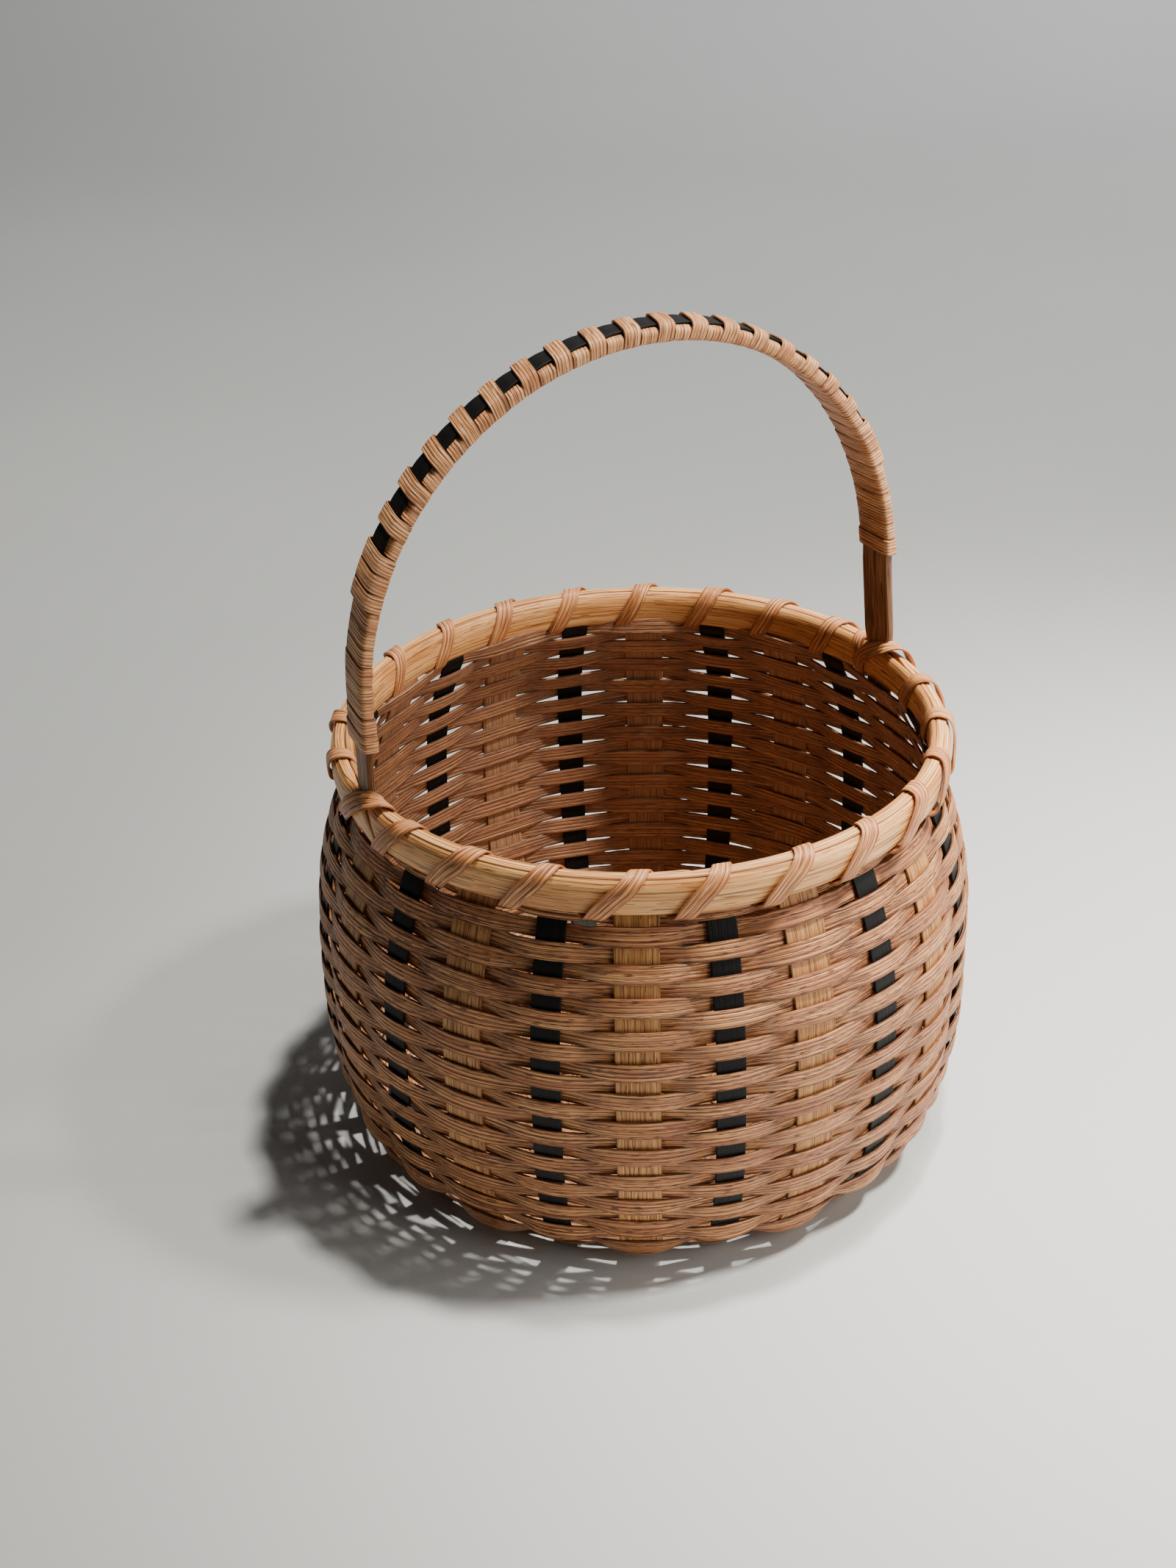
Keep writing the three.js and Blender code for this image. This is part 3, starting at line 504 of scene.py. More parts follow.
def weave_side(angle, waves, radius, other):
    """Which side of the stakes a weaver is on, from -1 to 1: a hyperbolic tangent of a cosine with so many
    waves round the ring. It is moved and steepened so that it crosses halfway between the edge of a wide
    stake and that of the other kind, whose half width is other, and is near its full reach at both."""
    near = math.asin(NATURAL_WIDTH / 2 / radius)
    far = math.pi / waves - math.asin(other / radius)
    share = -math.cos(waves * (near + far) / 2)
    slope = 0.5 / (math.cos(waves * near) + share)
    wave = np.tanh(slope * (np.cos(waves * angle) + share))
    return np.where(wave > 0, wave / math.tanh(slope * (1 + share)), wave / math.tanh(slope * (1 - share)))


def weaver_ring(length, outside_natural, at_natural, at_black, width, rng, waves=12, other=BLACK_WIDTH / 2,
                lift=0.0, stand=0.0):
    """One ring on the wall at an arc length. It stands out of the stakes' mid line by its side times a
    reach, which goes smoothly from one at the wide stakes to another at the black ones, and is larger
    at the back. It narrows, and shade is painted on it, where it changes sides and dives behind a stake,
    it narrows less at the black stakes, and it rises by the lift at the back. Where it is outside, it
    stands more upright than the wall by an angle: it turns about a line inside its upper edge, so that
    its lower edge comes out. It wanders a little in its reach, place and width. For waves and other, see
    weave_side."""
    angle = np.linspace(0, 2 * math.pi, RING_POINTS, endpoint=False)
    side = weave_side(angle, waves, np.interp(length, wall_length, wall_radius), other)
    near_natural = 0.5 + 0.5 * np.tanh(2.5 * side)
    reach = at_natural * near_natural + at_black * (1 - near_natural) * (1 + 0.1 * backness(angle))
    side = side * (1 if outside_natural else -1)
    out = reach * side * (1 + wander(angle, rng, 0.05, 17)) + wander(angle, rng, 0.05, 31)
    upright = stand * np.clip(side, 0, 1)
    out = out + STAND_PIVOT * width * np.sin(upright)
    place = length + wander(angle, rng, 0.12, 11) + wander(angle, rng, 0.10, 29) + lift * backness(angle)
    run, rise = np.interp(place, wall_length, wall_run), np.interp(place, wall_length, wall_rise)
    height = np.interp(place, wall_length, wall_height) - run * out
    radius = np.interp(place, wall_length, wall_radius) + back_swell(angle, height) + rise * out
    flat = np.zeros_like(angle)
    around = np.stack([np.cos(angle), np.sin(angle), flat], 1)
    middle = around * radius[:, None] + np.stack([flat, flat, height], 1)
    turned_run = run * np.cos(upright) - rise * np.sin(upright)
    turned_rise = rise * np.cos(upright) + run * np.sin(upright)
    wide = -around * turned_run[:, None] - np.stack([flat, flat, turned_rise], 1)
    narrow = 1 - 0.13 * np.exp(-((side / 0.36) ** 2)) - 0.09 * (1 - near_natural)
    narrow = narrow + wander(angle, rng, 0.015, 23)
    outline = reed_outline(width, WEAVER_THICKNESS, 0.42, 0.14, 7)
    # Painted shade where the ring changes sides and dives behind a stake.
    crossing_shade = 0.45 * np.exp(-((side / 0.45) ** 2))
    return sweep(middle, wide, outline, wider=narrow, closed=True, shift=rng.uniform(0, 3), painted_shade=crossing_shade)


# Rows count from 0, and even ones pass outside the wide stakes. The low rows are tight and a little wider,
# and the weave slackens above them. The stand comes in over rows 2 to 4, and goes as a bell curve above 5.
for row in range(ROWS):
    rng = np.random.default_rng(100 + row)
    outside = row % 2 == 0
    above = max(row - LOW_ROWS, 0)
    slack = min(above / 9, 1)
    if row == 0:
        reach = (1.15, 1.12)
    elif outside:
        reach = (1.24 + 0.31 * slack, 1.26 + 0.49 * slack)
    else:
        reach = (1.19 + 0.11 * slack, 1.21 + 0.24 * slack)
    lift = TOP_BACK_LIFT if row == ROWS - 1 else BACK_LIFT * min(row / 9, 1)
    width = WEAVER_WIDTH + (LOW_EXTRA_WIDTH if row < LOW_ROWS else 0)
    stand = STAND_ANGLE * min(max((row - 1.7) / 2, 0), 1) * math.exp(-((above / 3) ** 2))
    strip = weaver_ring(row_length[row], outside, *reach, width, rng, lift=lift, stand=stand)
    ring = make_piece(f"weaver_ring_{row + 1:02d}", [strip], weaver_reed, [rng.uniform()])
    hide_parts(f"wall_weaver_{row + 1:02d}")

# Base weaving: narrower rows of the same reed, inside the foot. Six rows go over and under all the stakes,
# and three more, nearer the centre, over and under the natural ones alone.
BASE_ROWS = 6
CENTRE_ROWS = 3
BASE_START = 6.55
BASE_PITCH = 6.12
BASE_WIDTH = 6.8
CENTRE_WIDTH = 6.5
base_rings, centre_rings, base_tones = [], [], []
for row in range(BASE_ROWS + CENTRE_ROWS):
    rng = np.random.default_rng(200 + row)
    length = foot_row - BASE_START - BASE_PITCH * row
    outside = row % 2 == 1
    base_tones.append(rng.uniform())
    if row < BASE_ROWS:
        base_rings.append(weaver_ring(length, outside, 1.22, 1.22, BASE_WIDTH, rng))
    else:
        centre_rings.append(weaver_ring(length, outside, 1.3, 1.3, CENTRE_WIDTH, rng, 6, NATURAL_WIDTH / 2))
base_weave = make_piece("base_weave", base_rings, weaver_reed, base_tones[:BASE_ROWS])
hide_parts("base_weaver_1", "base_weaver_2", "base_weaver_3", "base_weaver_4")
centre_weave = make_piece("centre_weave", centre_rings, weaver_reed, base_tones[BASE_ROWS:])
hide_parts("centre_weaver_1", "centre_weaver_2")

# Rim bands: two hoops of half-round reed, golden and smooth, with their flat sides to the stakes. Each is
# one length whose ends are shaved thin and lapped over each other.
RIM_TOP = 168.7
RIM_MIDDLE = 160.0
OUTER_BOTTOM = 154.0
INNER_BOTTOM = 154.4
OUTER_DEPTH = 4.2
INNER_DEPTH = 2.75
HALF_STAKE_ROOM = 0.75
RIM_GOLD = (0.86, 0.405, 0.125)
RIM_PALE = (0.97, 0.60, 0.250)
RIM_DARK = (0.27, 0.085, 0.020)
rim_reed = reed_finish("rim_reed_gold", RIM_GOLD, RIM_PALE, RIM_DARK, 0.40, 0.25,
                       line=0.8, run=120.0, dash=(7.0, 0.34), dashes=0.5, stained=0.6)


def half_round(height, depth):
    """A half-round section in mm: a flat back at 0, short flat edges, and a crown that is half of a
    flattened ellipse with a power of 2.6, up to the depth."""
    turn = np.linspace(-math.pi / 2, math.pi / 2, 26)
    across = np.sign(np.sin(turn)) * np.abs(np.sin(turn)) ** (2 / 2.6) * height / 2
    out = np.abs(np.cos(turn)) ** (2 / 2.6) * (depth - 0.35) + 0.35
    back = np.linspace(1, -1, 7) * (height / 2 - 0.5)
    return np.concatenate([np.stack([across, out], 1), np.stack([back, np.zeros(7)], 1)])


def rim_band(back, depth, bottom, side, lap_at, lap, seed):
    """A hoop from its lap round to its lap again: the section stands on a back radius. Its first end is
    shaved to half its thickness. Its last end slips outside that, thins to a feather over twice the
    lap, and is cut on a slant, so that its point lies at the bottom."""
    rng = np.random.default_rng(seed)
    angle = lap_at + np.linspace(0, 2 * math.pi + lap, 560)
    under = np.clip((angle - lap_at) / lap, 0, 1)
    left = lap_at + 2 * math.pi + lap - angle
    thick = np.minimum(0.45 + 0.55 * under, 0.12 + 0.88 * np.clip(left / (2.2 * lap), 0, 1))
    slip = np.clip(1 - left / (2.0 * lap), 0, 1)
    cut = np.clip(left / (1.2 * lap), 0.0, 1) ** 0.7 * 0.85 + 0.15
    tall = RIM_TOP - bottom
    outline = half_round(tall, depth)
    around = np.stack([np.cos(angle), np.sin(angle), np.zeros_like(angle)], 1)
    radius = back + side * slip**1.3 * depth * 0.95 + wander(angle, rng, 0.10, 9)
    radius = radius + back_swell(angle, RIM_MIDDLE)
    height = (RIM_TOP + bottom) / 2 - (1 - cut) * tall / 2 + wander(angle, rng, 0.12, 7)
    middle = around * radius[:, None]
    middle[:, 2] = height
    wide = np.broadcast_to([0.0, 0.0, -side], middle.shape)
    return sweep(middle, wide, outline, wider=cut, thicker=thick)


outer_strip = rim_band(NECK + HALF_STAKE_ROOM, OUTER_DEPTH, OUTER_BOTTOM, side=1,
                       lap_at=math.radians(181), lap=math.radians(6), seed=31)
outer_band = make_piece("outer_rim_reed", [outer_strip], rim_reed, [0.25])
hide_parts("outer_rim_band")
inner_strip = rim_band(NECK - HALF_STAKE_ROOM, INNER_DEPTH, INNER_BOTTOM, side=-1,
                       lap_at=math.radians(250), lap=math.radians(8), seed=32)
inner_band = make_piece("inner_rim_reed", [inner_strip], rim_reed, [0.6])
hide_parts("inner_rim_band")

# Rim filler: a slim strip of the same golden reed laid in the groove between the bands. It is cut at the
# handle, so it is two pieces with narrow ends.
FILLER_WIDTH = 3.7
FILLER_THICKNESS = 1.3
FILLER_OUT = 1.15
FILLER_SUNK = 0.30


def rim_filler(start, end, seed):
    """A flat strip along the groove from one angle in degrees to another. Its width is a power of the
    distance to its nearer end, so it narrows to a third over the last 8 mm of both."""
    rng = np.random.default_rng(seed)
    angle = np.radians(np.linspace(start, end, 220))
    away = np.minimum(angle - angle[0], angle[-1] - angle) * NECK
    narrow = np.clip(0.25 + away / 11, 0, 1) ** 0.8
    around = np.stack([np.cos(angle), np.sin(angle), np.zeros_like(angle)], 1)
    radius = NECK + FILLER_OUT + wander(angle, rng, 0.15, 9) + back_swell(angle, RIM_MIDDLE)
    middle = around * radius[:, None]
    middle[:, 2] = RIM_TOP - FILLER_SUNK + wander(angle, rng, 0.12, 9)
    return sweep(middle, -around, reed_outline(FILLER_WIDTH, FILLER_THICKNESS, 0.5, 0.35, 7), wider=narrow)


filler_reed = reed_finish("filler_reed_gold", RIM_GOLD, RIM_PALE, RIM_DARK, 0.5, 0.6,
                          line=0.6, run=90.0, dash=(16.0, 0.5), dashes=0.5, ridge=1.3)
back_strip = rim_filler(4.5, 176.0, 41)
filler_back = make_piece("rim_filler_strip_back", [back_strip], filler_reed, [0.3])
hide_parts("rim_filler_back")
front_strip = rim_filler(185.5, 355.6, 42)
filler_front = make_piece("rim_filler_strip_front", [front_strip], filler_reed, [0.2])
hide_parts("rim_filler_front")

# Rim lashing: one long strip of ribbed tan cane wound round the rim, one turn in each gap between stakes. It
# comes up outside on a slant, over the top and down the inside. It crosses the left leg of the handle on
# its outer face and the foot of the right leg on the inside.
LASH_WIDTH = 6.5
LASH_THICKNESS = 0.85
LASH_TURNS = 24
LASH_TAN = (0.70, 0.27, 0.090)
LASH_PALE = (0.90, 0.47, 0.195)
CANE_DARK = (0.17, 0.050, 0.016)
lashing_cane = reed_finish("lashing_cane_tan", LASH_TAN, LASH_PALE, CANE_DARK, 0.45, 0.8,
                           line=0.6, run=50.0, dash=(8.0, 0.4), dashes=0.5, ridge=1.65, groove=0.55)

# A turn as radius, height, degrees past its start, and share of the width: from under the rim up outside it,
# over the top and down inside. The right leg's turn goes round twice, because it also holds the leg's foot.
plain_turn = np.array([
    [111.6, 153.5, -1.5, 0.80], [115.4, 153.4, -0.3, 0.90], [117.5, 155.6, 0.9, 1.00],
    [118.1, 161.6, 3.4, 1.05], [117.6, 166.0, 5.6, 1.05], [116.1, 168.9, 6.9, 1.05],
    [113.2, 170.1, 7.7, 1.05], [110.2, 169.3, 8.2, 1.00], [108.4, 166.4, 8.9, 1.00],
    [107.8, 162.0, 10.0, 1.00], [107.9, 157.6, 11.3, 1.00], [109.0, 154.4, 12.3, 0.90]])
left_leg_turn = np.array([
    [111.6, 153.5, -1.5, 0.75], [115.4, 153.4, -0.3, 0.65], [117.7, 155.8, 1.6, 0.85],
    [118.5, 160.2, 4.2, 1.00], [118.4, 164.4, 6.8, 1.10], [117.3, 167.8, 9.0, 1.15],
    [116.0, 169.7, 11.0, 1.15], [114.4, 170.7, 12.8, 1.15], [112.2, 170.8, 14.2, 1.10],
    [109.9, 169.3, 14.9, 1.05], [108.4, 166.0, 14.8, 1.00], [107.85, 162.0, 14.2, 1.00],
    [107.95, 157.2, 13.5, 0.95], [109.0, 154.4, 13.2, 0.85]])
right_leg_turn = np.array([
    [111.6, 153.5, -1.5, 0.75], [115.4, 153.4, -0.3, 0.65], [117.5, 155.6, 0.8, 0.85],
    [118.1, 161.6, 2.2, 1.00], [117.7, 166.4, 3.2, 1.00], [116.2, 170.3, 3.9, 1.00],
    [113.6, 172.3, 4.6, 1.00], [110.6, 172.0, 5.9, 1.00], [108.7, 169.6, 8.4, 1.00],
    [107.9, 166.2, 11.2, 1.00], [107.7, 162.6, 13.2, 0.95], [107.95, 157.8, 14.0, 0.80],
    [110.0, 153.6, 13.9, 0.50], [115.4, 153.4, 13.8, 0.50], [117.5, 155.6, 14.0, 0.70],
    [118.1, 161.6, 14.6, 0.90], [117.6, 166.0, 15.0, 0.92], [116.1, 168.9, 15.2, 0.92],
    [113.2, 170.1, 15.3, 0.92], [110.2, 169.3, 15.2, 0.92], [108.5, 166.4, 14.9, 0.92],
    [108.1, 162.0, 14.4, 0.90], [108.0, 157.4, 13.9, 0.90], [109.0, 154.4, 13.6, 0.80]])


def through_points(points, steps):
    """A smooth path through points: a Catmull-Rom cubic in each span."""
    ends = np.concatenate([[2 * points[0] - points[1]], points, [2 * points[-1] - points[-2]]])
    share = np.linspace(0, 1, steps, endpoint=False)[None, :, None]
    a, b, c, d = (ends[k:len(ends) - 3 + k, None] for k in range(4))
    square, cube = 2 * a - 5 * b + 4 * c - d, 3 * b - a - 3 * c + d
    path = 0.5 * (2 * b + (c - a) * share + square * share**2 + cube * share**3)
    return np.concatenate([path.reshape(-1, points.shape[1]), points[-1:]])


# Above the lower edge of the bands, each turn wanders a little in its angle and its width.
lash_rng = np.random.default_rng(51)
lash_points = []
for turn in range(LASH_TURNS):
    shape = {0: right_leg_turn, LASH_TURNS // 2: left_leg_turn}.get(turn, plain_turn).copy()
    free = np.clip((shape[:, 1] - 156) / 10, 0, 1)
    shape[:, 2] += (turn - 0.5) * (360 / LASH_TURNS) + free * lash_rng.normal(0, 0.40)
    shape[:, 3] *= 1 + free * lash_rng.normal(0.02, 0.05)
    lash_points.append(shape)
lash = through_points(np.concatenate(lash_points), 6)
lash_angle = np.radians(lash[:, 2])
lash_around = np.stack([np.cos(lash_angle), np.sin(lash_angle), np.zeros(len(lash))], 1)
lash_middle = lash_around * (lash[:, :1] + back_swell(lash_angle, RIM_MIDDLE)[:, None])
lash_middle[:, 2] = lash[:, 1]
lash_out = np.gradient(lash[:, 1])[:, None] * lash_around
lash_out[:, 2] = -np.gradient(lash[:, 0])
lash_out = unit(lash_out)
lash_wide = np.cross(unit(np.gradient(lash_middle, axis=0)), lash_out)
lash_outline = reed_outline(LASH_WIDTH, LASH_THICKNESS, 0.35, 0.16, 9)
# Painted shade on the lashing below the bands' lower edge, where it passes under the rim into the wall.
lash_slot_shade = 0.35 * np.clip((156.0 - lash[:, 1]) / 2, 0, 1)
lash_strip = sweep(lash_middle, lash_wide, lash_outline, wider=lash[:, 3], painted_shade=lash_slot_shade)
lashing = make_piece("rim_lashing_cane", [lash_strip], lashing_cane, [0.35])
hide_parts("rim_lashing")

# Handle hoop: a bent bar of mid-brown reed, 13 mm wide and 3.6 mm thick, with eased edges. Its legs are
# shaved thin below the rim's top and stand between the two bands. The middle is hidden by the wrapping.
HOOP_WIDTH = 12.7
HOOP_THICKNESS = 3.6
ARCH_HEIGHT = 207.2
ARCH_END = math.pi * NECK
LEG = 50.0
LEG_TWIST = math.radians(17)
LEG_LEAN = 3.0
LEG_SET_BACK = 4.0
HOOP_BROWN = (0.31, 0.145, 0.060)
HOOP_PALE = (0.50, 0.250, 0.115)
HOOP_DARK = (0.050, 0.015, 0.005)
hoop_reed = reed_finish("handle_reed_brown", HOOP_BROWN, HOOP_PALE, HOOP_DARK, 0.42, 0.5,
                        line=0.9, run=120.0, dash=(14.0, 0.5), dashes=0.5, shine=0.3)


def ease(value, low, high):
    """0 at low, 1 at high, and a smooth cubic between."""
    share = np.clip((value - low) / (high - low), 0, 1)
    return share**2 * (3 - 2 * share)


def handle_path(length):
    """The handle's mid line at lengths from the left spring of the arch, the way out of it, and the way
    across it: upright legs and half a circle. Above the rim the right leg is twisted and leans in, and the
    whole of it is set back. Each comes in as a smooth cubic of the length."""
    turn = np.clip(length / NECK, 0, math.pi)
    out = np.stack([-np.cos(turn), np.zeros_like(turn), np.sin(turn)], -1)
    point = out * NECK
    point[..., 2] += ARCH_HEIGHT
    point[..., 2] += np.minimum(length, 0) - np.maximum(length - ARCH_END, 0)
    above_rim = np.clip((ARCH_END + 38 - length) / 38, 0, 1)
    point[..., 0] -= LEG_LEAN * ease(length, ARCH_END - 170, ARCH_END - 20) * above_rim
    point[..., 1] += LEG_SET_BACK * ease(length, ARCH_END - 190, ARCH_END + 10)
    twist = LEG_TWIST * ease(length, ARCH_END - 120, ARCH_END - 5)
    twist = (twist * (1 - ease(length, ARCH_END + 29, ARCH_END + 42)))[:, None]
    across = np.array([0.0, 1.0, 0.0])
    return point, out * np.cos(twist) + across * np.sin(twist), across * np.cos(twist) - out * np.sin(twist)


# The feet are shaved to under a third of the thickness over their last 10 mm, and the left leg is slimmer.
hoop_length = np.concatenate([np.linspace(-LEG, -8, 60)[:-1], np.linspace(-8, ARCH_END + 8, 230),
                              np.linspace(ARCH_END + 8, ARCH_END + LEG, 60)[1:]])
hoop_middle, hoop_out, hoop_across = handle_path(hoop_length)
from_end = np.minimum(hoop_length + LEG, ARCH_END + LEG - hoop_length)
hoop_thin = 0.30 + 0.70 * np.clip((from_end - 10) / 4, 0, 1) ** 0.7
left_shaved = 1 - ease(hoop_length, -22, -12)
hoop_strip = sweep(hoop_middle, hoop_across, reed_outline(HOOP_WIDTH, HOOP_THICKNESS, 0.8, 0.25, 9),
                   wider=1 - 0.17 * left_shaved, thicker=np.minimum(hoop_thin, 1 - 0.25 * left_shaved))
hoop = make_piece("handle_hoop_reed", [hoop_strip], hoop_reed, [0.4])
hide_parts("handle_hoop")

# Handle strand: a black reed, 9.3 mm wide, on the outer face of the arch. The wrapping goes over it and
# under it in turn, so it rises a little in each window, and its ends are tucked under plain turns.
STRAND_WIDTH = 9.3
STRAND_THICKNESS = 1.05
STRAND_HEIGHT = 3.15
STRAND_RISE = 0.22
STRAND_TUCK = 16.0
WRAP_PITCH = math.radians(3.415) * NECK
FIRST_OVER = math.radians(27.0) * NECK
LAST_WEAVE = 35
strand_end = FIRST_OVER + (LAST_WEAVE + 1) * WRAP_PITCH
strand_length = np.linspace(FIRST_OVER - STRAND_TUCK, strand_end + STRAND_TUCK, 900)
strand_turn = (strand_length - FIRST_OVER) / WRAP_PITCH
strand_middle, strand_out, strand_across = handle_path(strand_length)
strand_lift = STRAND_HEIGHT - STRAND_RISE * np.cos(math.pi * strand_turn)
strand_middle = strand_middle + strand_out * strand_lift[:, None]
strand_outline = reed_outline(STRAND_WIDTH, STRAND_THICKNESS, 0.35, 0.15, 11)
strand_strip = sweep(strand_middle, strand_across, strand_outline)
strand = make_piece("handle_strand_black", [strand_strip], black_reed, [0.45])
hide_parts("handle_black_strand")

# Handle wrapping: one strip of ribbed tan cane, 6.5 mm wide, wound in 55 close turns. Over the arch every
# other turn passes over the black strand and the turns between pass under it; at both ends it is plain.
WRAP_WIDTH = 6.5
WRAP_THICKNESS = 0.8
WRAP_START = -10.5
WRAP_END = 44.2
WRAP_LOW = 2.35
WRAP_HIGH = 4.35
WRAP_HALF = 6.98
CANE_TAN = (0.87, 0.39, 0.148)
CANE_PALE = (0.97, 0.58, 0.275)


def wrap_outline(top, share):
    """A turn's path round the handle, out of it and across it, at shares of a turn from -0.5 to 0.5, with
    0 on the outer face: a flattened ellipse of power 4.4 whose outer half is as high as top, with the
    shares measured evenly along it."""
    turn = np.linspace(-math.pi, math.pi, 721)
    power = 2 / 4.4
    out = np.sign(np.cos(turn)) * np.abs(np.cos(turn)) ** power
    out = np.where(out > 0, out * top, out * WRAP_LOW)
    across = np.sign(np.sin(turn)) * np.abs(np.sin(turn)) ** power * WRAP_HALF
    length = np.concatenate([[0], np.cumsum(np.hypot(np.diff(out), np.diff(across)))])
    even = np.linspace(0, 1, 721)
    evenly = np.interp(even, length / length[-1], out), np.interp(even, length / length[-1], across)
    shares = np.linspace(-0.5, 0.5, 721)
    return np.interp(share, shares, evenly[0]), np.interp(share, shares, evenly[1])


# Turns count from the first over the strand. Plain turns near the strand's ends stand as high as the ones
# over it, each turn is a little larger or smaller, and the last of both ends bulge, with the end tucked in.
wrap_turn = np.linspace(WRAP_START, WRAP_END, 55 * 56)
wrap_share = (wrap_turn + 0.5) % 1.0 - 0.5
wrap_number = np.round(wrap_turn).astype(int)
weaves = (wrap_number >= 1) & (wrap_number <= LAST_WEAVE)
over = weaves & (wrap_number % 2 == 0)
covers = ~weaves & (wrap_number > -3) & (wrap_number < LAST_WEAVE + 4)
raised = np.where(over | covers, 1.0, 0.0)
low_out, low_across = wrap_outline(WRAP_LOW, wrap_share)
high_out, high_across = wrap_outline(WRAP_HIGH, wrap_share)
wrap_rng = np.random.default_rng(61)
turn_size = wrap_rng.normal(0, 1, 80)[wrap_number + 15]
bulge = 0.6 * np.clip(-8.6 - wrap_turn, 0, 1) + 0.6 * np.clip(wrap_turn - 42.6, 0, 1)
wrap_out = low_out + (high_out - low_out) * raised + 0.05 * turn_size * np.cos(2 * math.pi * wrap_share)
wrap_out = wrap_out + bulge * np.sign(low_out) * np.minimum(1, np.abs(low_out))
wrap_across = low_across + (high_across - low_across) * raised
wrap_across = wrap_across * (1 + 0.012 * turn_size + 0.03 * raised + bulge / 9)
tucked = 1 - 0.14 * np.clip((wrap_turn - 43.95) / 0.2, 0, 1)
wrap_out, wrap_across = wrap_out * tucked, wrap_across * tucked
wrap_length = FIRST_OVER + WRAP_PITCH * wrap_turn
wrap_point, wrap_way, across_way = handle_path(wrap_length)
wrap_middle = wrap_point + wrap_way * wrap_out[:, None] + across_way * wrap_across[:, None]
facing = wrap_way * np.gradient(wrap_across)[:, None] - across_way * np.gradient(wrap_out)[:, None]
wrap_wide = np.cross(unit(np.gradient(wrap_middle, axis=0)), unit(facing))
wrap_strip = sweep(wrap_middle, wrap_wide, reed_outline(WRAP_WIDTH, WRAP_THICKNESS, 0.3, 0.12, 9))
wrap_cane = reed_finish("wrapping_cane_tan", CANE_TAN, CANE_PALE, CANE_DARK, 0.45, 0.85,
                        line=0.5, run=45.0, dash=(7.0, 0.4), dashes=0.7, ridge=1.3, groove=0.45, stained=0.65)
wrapping = make_piece("handle_wrapping_cane", [wrap_strip], wrap_cane, [0.6])
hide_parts("handle_wrapping")

# Studio: one pale grey sheet that is the floor and curves up into the backdrop far behind the basket. A
# small lamp stands nearly overhead, two soft pools of light fall on the right, a wide dim lamp fills in
# from the front right, and two more are turned to the backdrop. The camera has the photograph's view.
CAMERA_PLACE = (-0.3716, -0.6727, 0.5795)
VIEW_RIGHT = (0.8812, -0.4722, -0.0237)
VIEW_UP = (0.2526, 0.4277, 0.8679)
VIEW_BACK = (-0.3997, -0.7708, 0.4961)
SHEET_FRONT = -2.2
SHEET_BEND = 1.5
SHEET_BEND_RADIUS = 0.9
SHEET_TOP = 3.2
SHEET_HALF = 3.0
BACKDROP_DARK = (0.49, 0.508, 0.505)
BACKDROP_PALE = (0.54, 0.555, 0.552)
camera = bpy.data.objects.new("camera", bpy.data.cameras.new("camera"))
camera.data.sensor_fit = "HORIZONTAL"
camera.data.sensor_width = 36.0
camera.data.lens = 70.6
camera.data.clip_start = 0.01
camera_turn = Matrix((VIEW_RIGHT, VIEW_UP, VIEW_BACK)).transposed()
camera.matrix_world = Matrix.Translation(CAMERA_PLACE) @ camera_turn.to_4x4()
bpy.context.scene.collection.objects.link(camera)
bpy.context.scene.camera = camera

ahead = -Vector((VIEW_BACK[0], VIEW_BACK[1], 0)).normalized()
aside = Vector((ahead.y, -ahead.x, 0))


def backdrop_sheet():
    """A sheet whose section is flat, then a quarter circle, then upright, carried straight across."""
    flat = np.linspace(SHEET_FRONT, SHEET_BEND, 30)
    curve = np.linspace(0, math.pi / 2, 24)[1:]
    bend_depth = SHEET_BEND + SHEET_BEND_RADIUS * np.sin(curve)
    bend_rise = SHEET_BEND_RADIUS * (1 - np.cos(curve))
    depth = np.concatenate([flat, bend_depth, [SHEET_BEND + SHEET_BEND_RADIUS]])
    rise = np.concatenate([np.zeros_like(flat), bend_rise, [SHEET_TOP]])
    sideways = np.linspace(-SHEET_HALF, SHEET_HALF, 13)
    points = np.array(ahead) * depth[:, None, None] + np.array(aside) * sideways[None, :, None]
    points[..., 2] = rise[:, None]
    i, k = np.meshgrid(np.arange(len(depth) - 1), np.arange(len(sideways) - 1), indexing="ij")
    near, far = i * len(sideways) + k, (i + 1) * len(sideways) + k
    faces = np.stack([near, near + 1, far + 1, far], -1).reshape(-1, 4)
    mesh = bpy.data.meshes.new("backdrop")
    mesh.from_pydata(points.reshape(-1, 3).tolist(), [], faces.tolist())
    mesh.polygons.foreach_set("use_smooth", np.ones(len(faces), bool))
    return mesh


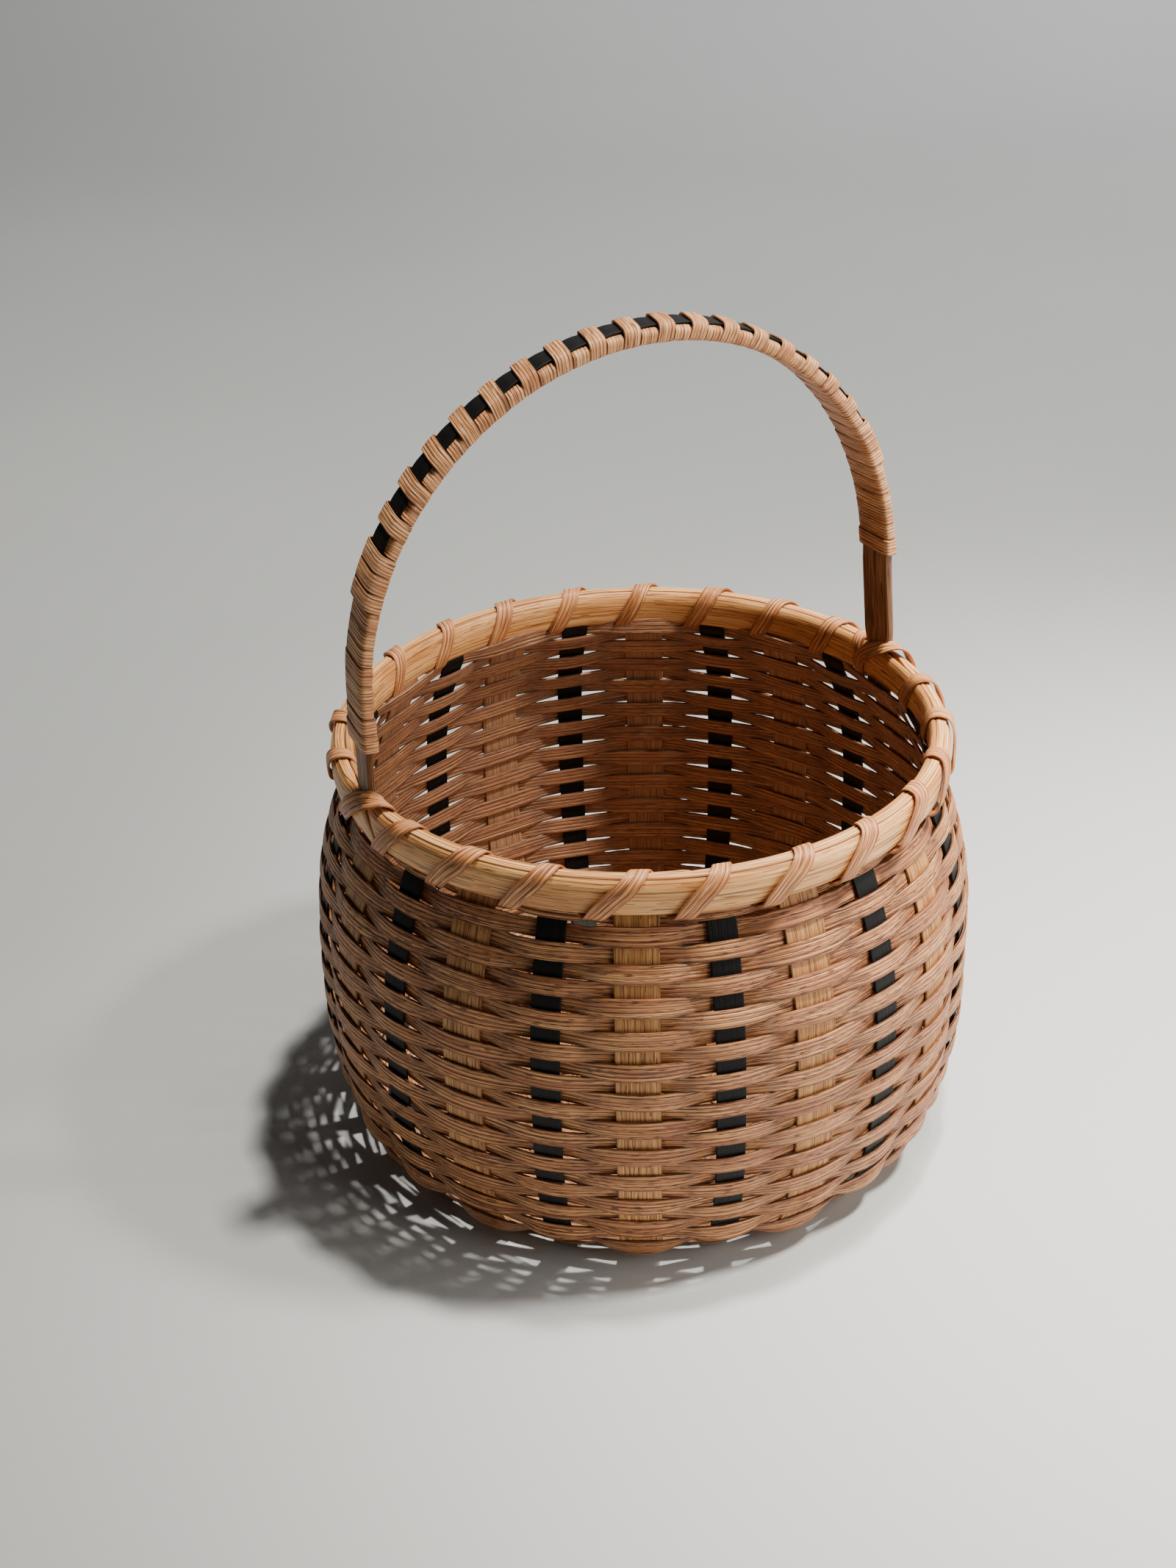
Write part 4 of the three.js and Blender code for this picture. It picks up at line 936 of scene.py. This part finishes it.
def backdrop_finish():
    """Painted board: pale grey, with faint broad clouds and a fine tooth."""
    finish, shader, wire = new_finish("backdrop_grey")
    place = wire.node("ShaderNodeTexCoord", {}, output=3)
    cloud = wire.node("ShaderNodeTexNoise", {"Vector": place, "Scale": 2.2, "Detail": 3.0})
    tooth = wire.node("ShaderNodeTexNoise", {"Vector": place, "Scale": 420.0, "Detail": 2.0})
    colour = (cloud.step(0.3, 0.7) * 0.6 + tooth * 0.4).blend(BACKDROP_DARK, BACKDROP_PALE)
    colour.feed(shader, "Base Color")
    shader.inputs["Roughness"].default_value = 0.75
    tooth.bump(0.15).feed(shader, "Normal")
    return finish


backdrop = bpy.data.objects.new("backdrop", backdrop_sheet())
backdrop.data.materials.append(backdrop_finish())
bpy.context.scene.collection.objects.link(backdrop)

WARM_LIGHT = (1.0, 0.95, 0.88)
COOL_LIGHT = (0.97, 0.99, 1.0)
SKY_LIGHT = (0.88, 0.94, 1.0)
upward = Vector((0, 0, 1))


def lamp(name, place, target, size, power, colour=WARM_LIGHT, cone=None):
    """A lamp at a place in metres that is turned to a target: a square one whose side is its size or, with
    a cone in degrees, a soft-edged spot whose radius is its size."""
    made = bpy.data.objects.new(name, bpy.data.lights.new(name, "SPOT" if cone else "AREA"))
    if cone:
        made.data.shadow_soft_size = size
        made.data.spot_blend = 1.0
        made.data.spot_size = math.radians(cone)
    else:
        made.data.size = size
    made.data.energy = power
    made.data.color = colour
    made.location = place
    made.rotation_euler = (target - place).to_track_quat("-Z", "Y").to_euler()
    bpy.context.scene.collection.objects.link(made)


lamp("high_lamp", Vector((0.324, 0.011, 1.769)), upward * 0.1, 0.10, 36.5)
lamp("side_lamp", Vector((0.731, -0.936, 0.629)), upward * 0.1, 1.0, 11.5)
lamp("pool_lamp_one", aside * 0.50 - ahead * 0.05 + upward * 0.95, aside * 0.30 - ahead * 0.02,
     0.06, 86.0, cone=62)
lamp("pool_lamp_two", aside * 0.35 + ahead * 0.10 + upward * 1.10, aside * 0.34 - ahead * 0.08,
     0.06, 22.0, cone=50)
lamp("backdrop_lamp", ahead * 1.4 + aside * 1.3 + upward * 1.3, ahead * 2.2 + aside * 0.5 + upward,
     0.6, 19.0, COOL_LIGHT)
lamp("backdrop_pool", aside * 1.0 + ahead * 0.4 + upward * 1.5, ahead * 2.0 + aside * 0.55 + upward * 0.75,
     0.3, 52.0, COOL_LIGHT, cone=70)
world = bpy.data.worlds.new("studio")
world.use_nodes = True
background = world.node_tree.nodes["Background"]
background.inputs["Color"].default_value = (*SKY_LIGHT, 1)
background.inputs["Strength"].default_value = 0.036
bpy.context.scene.world = world
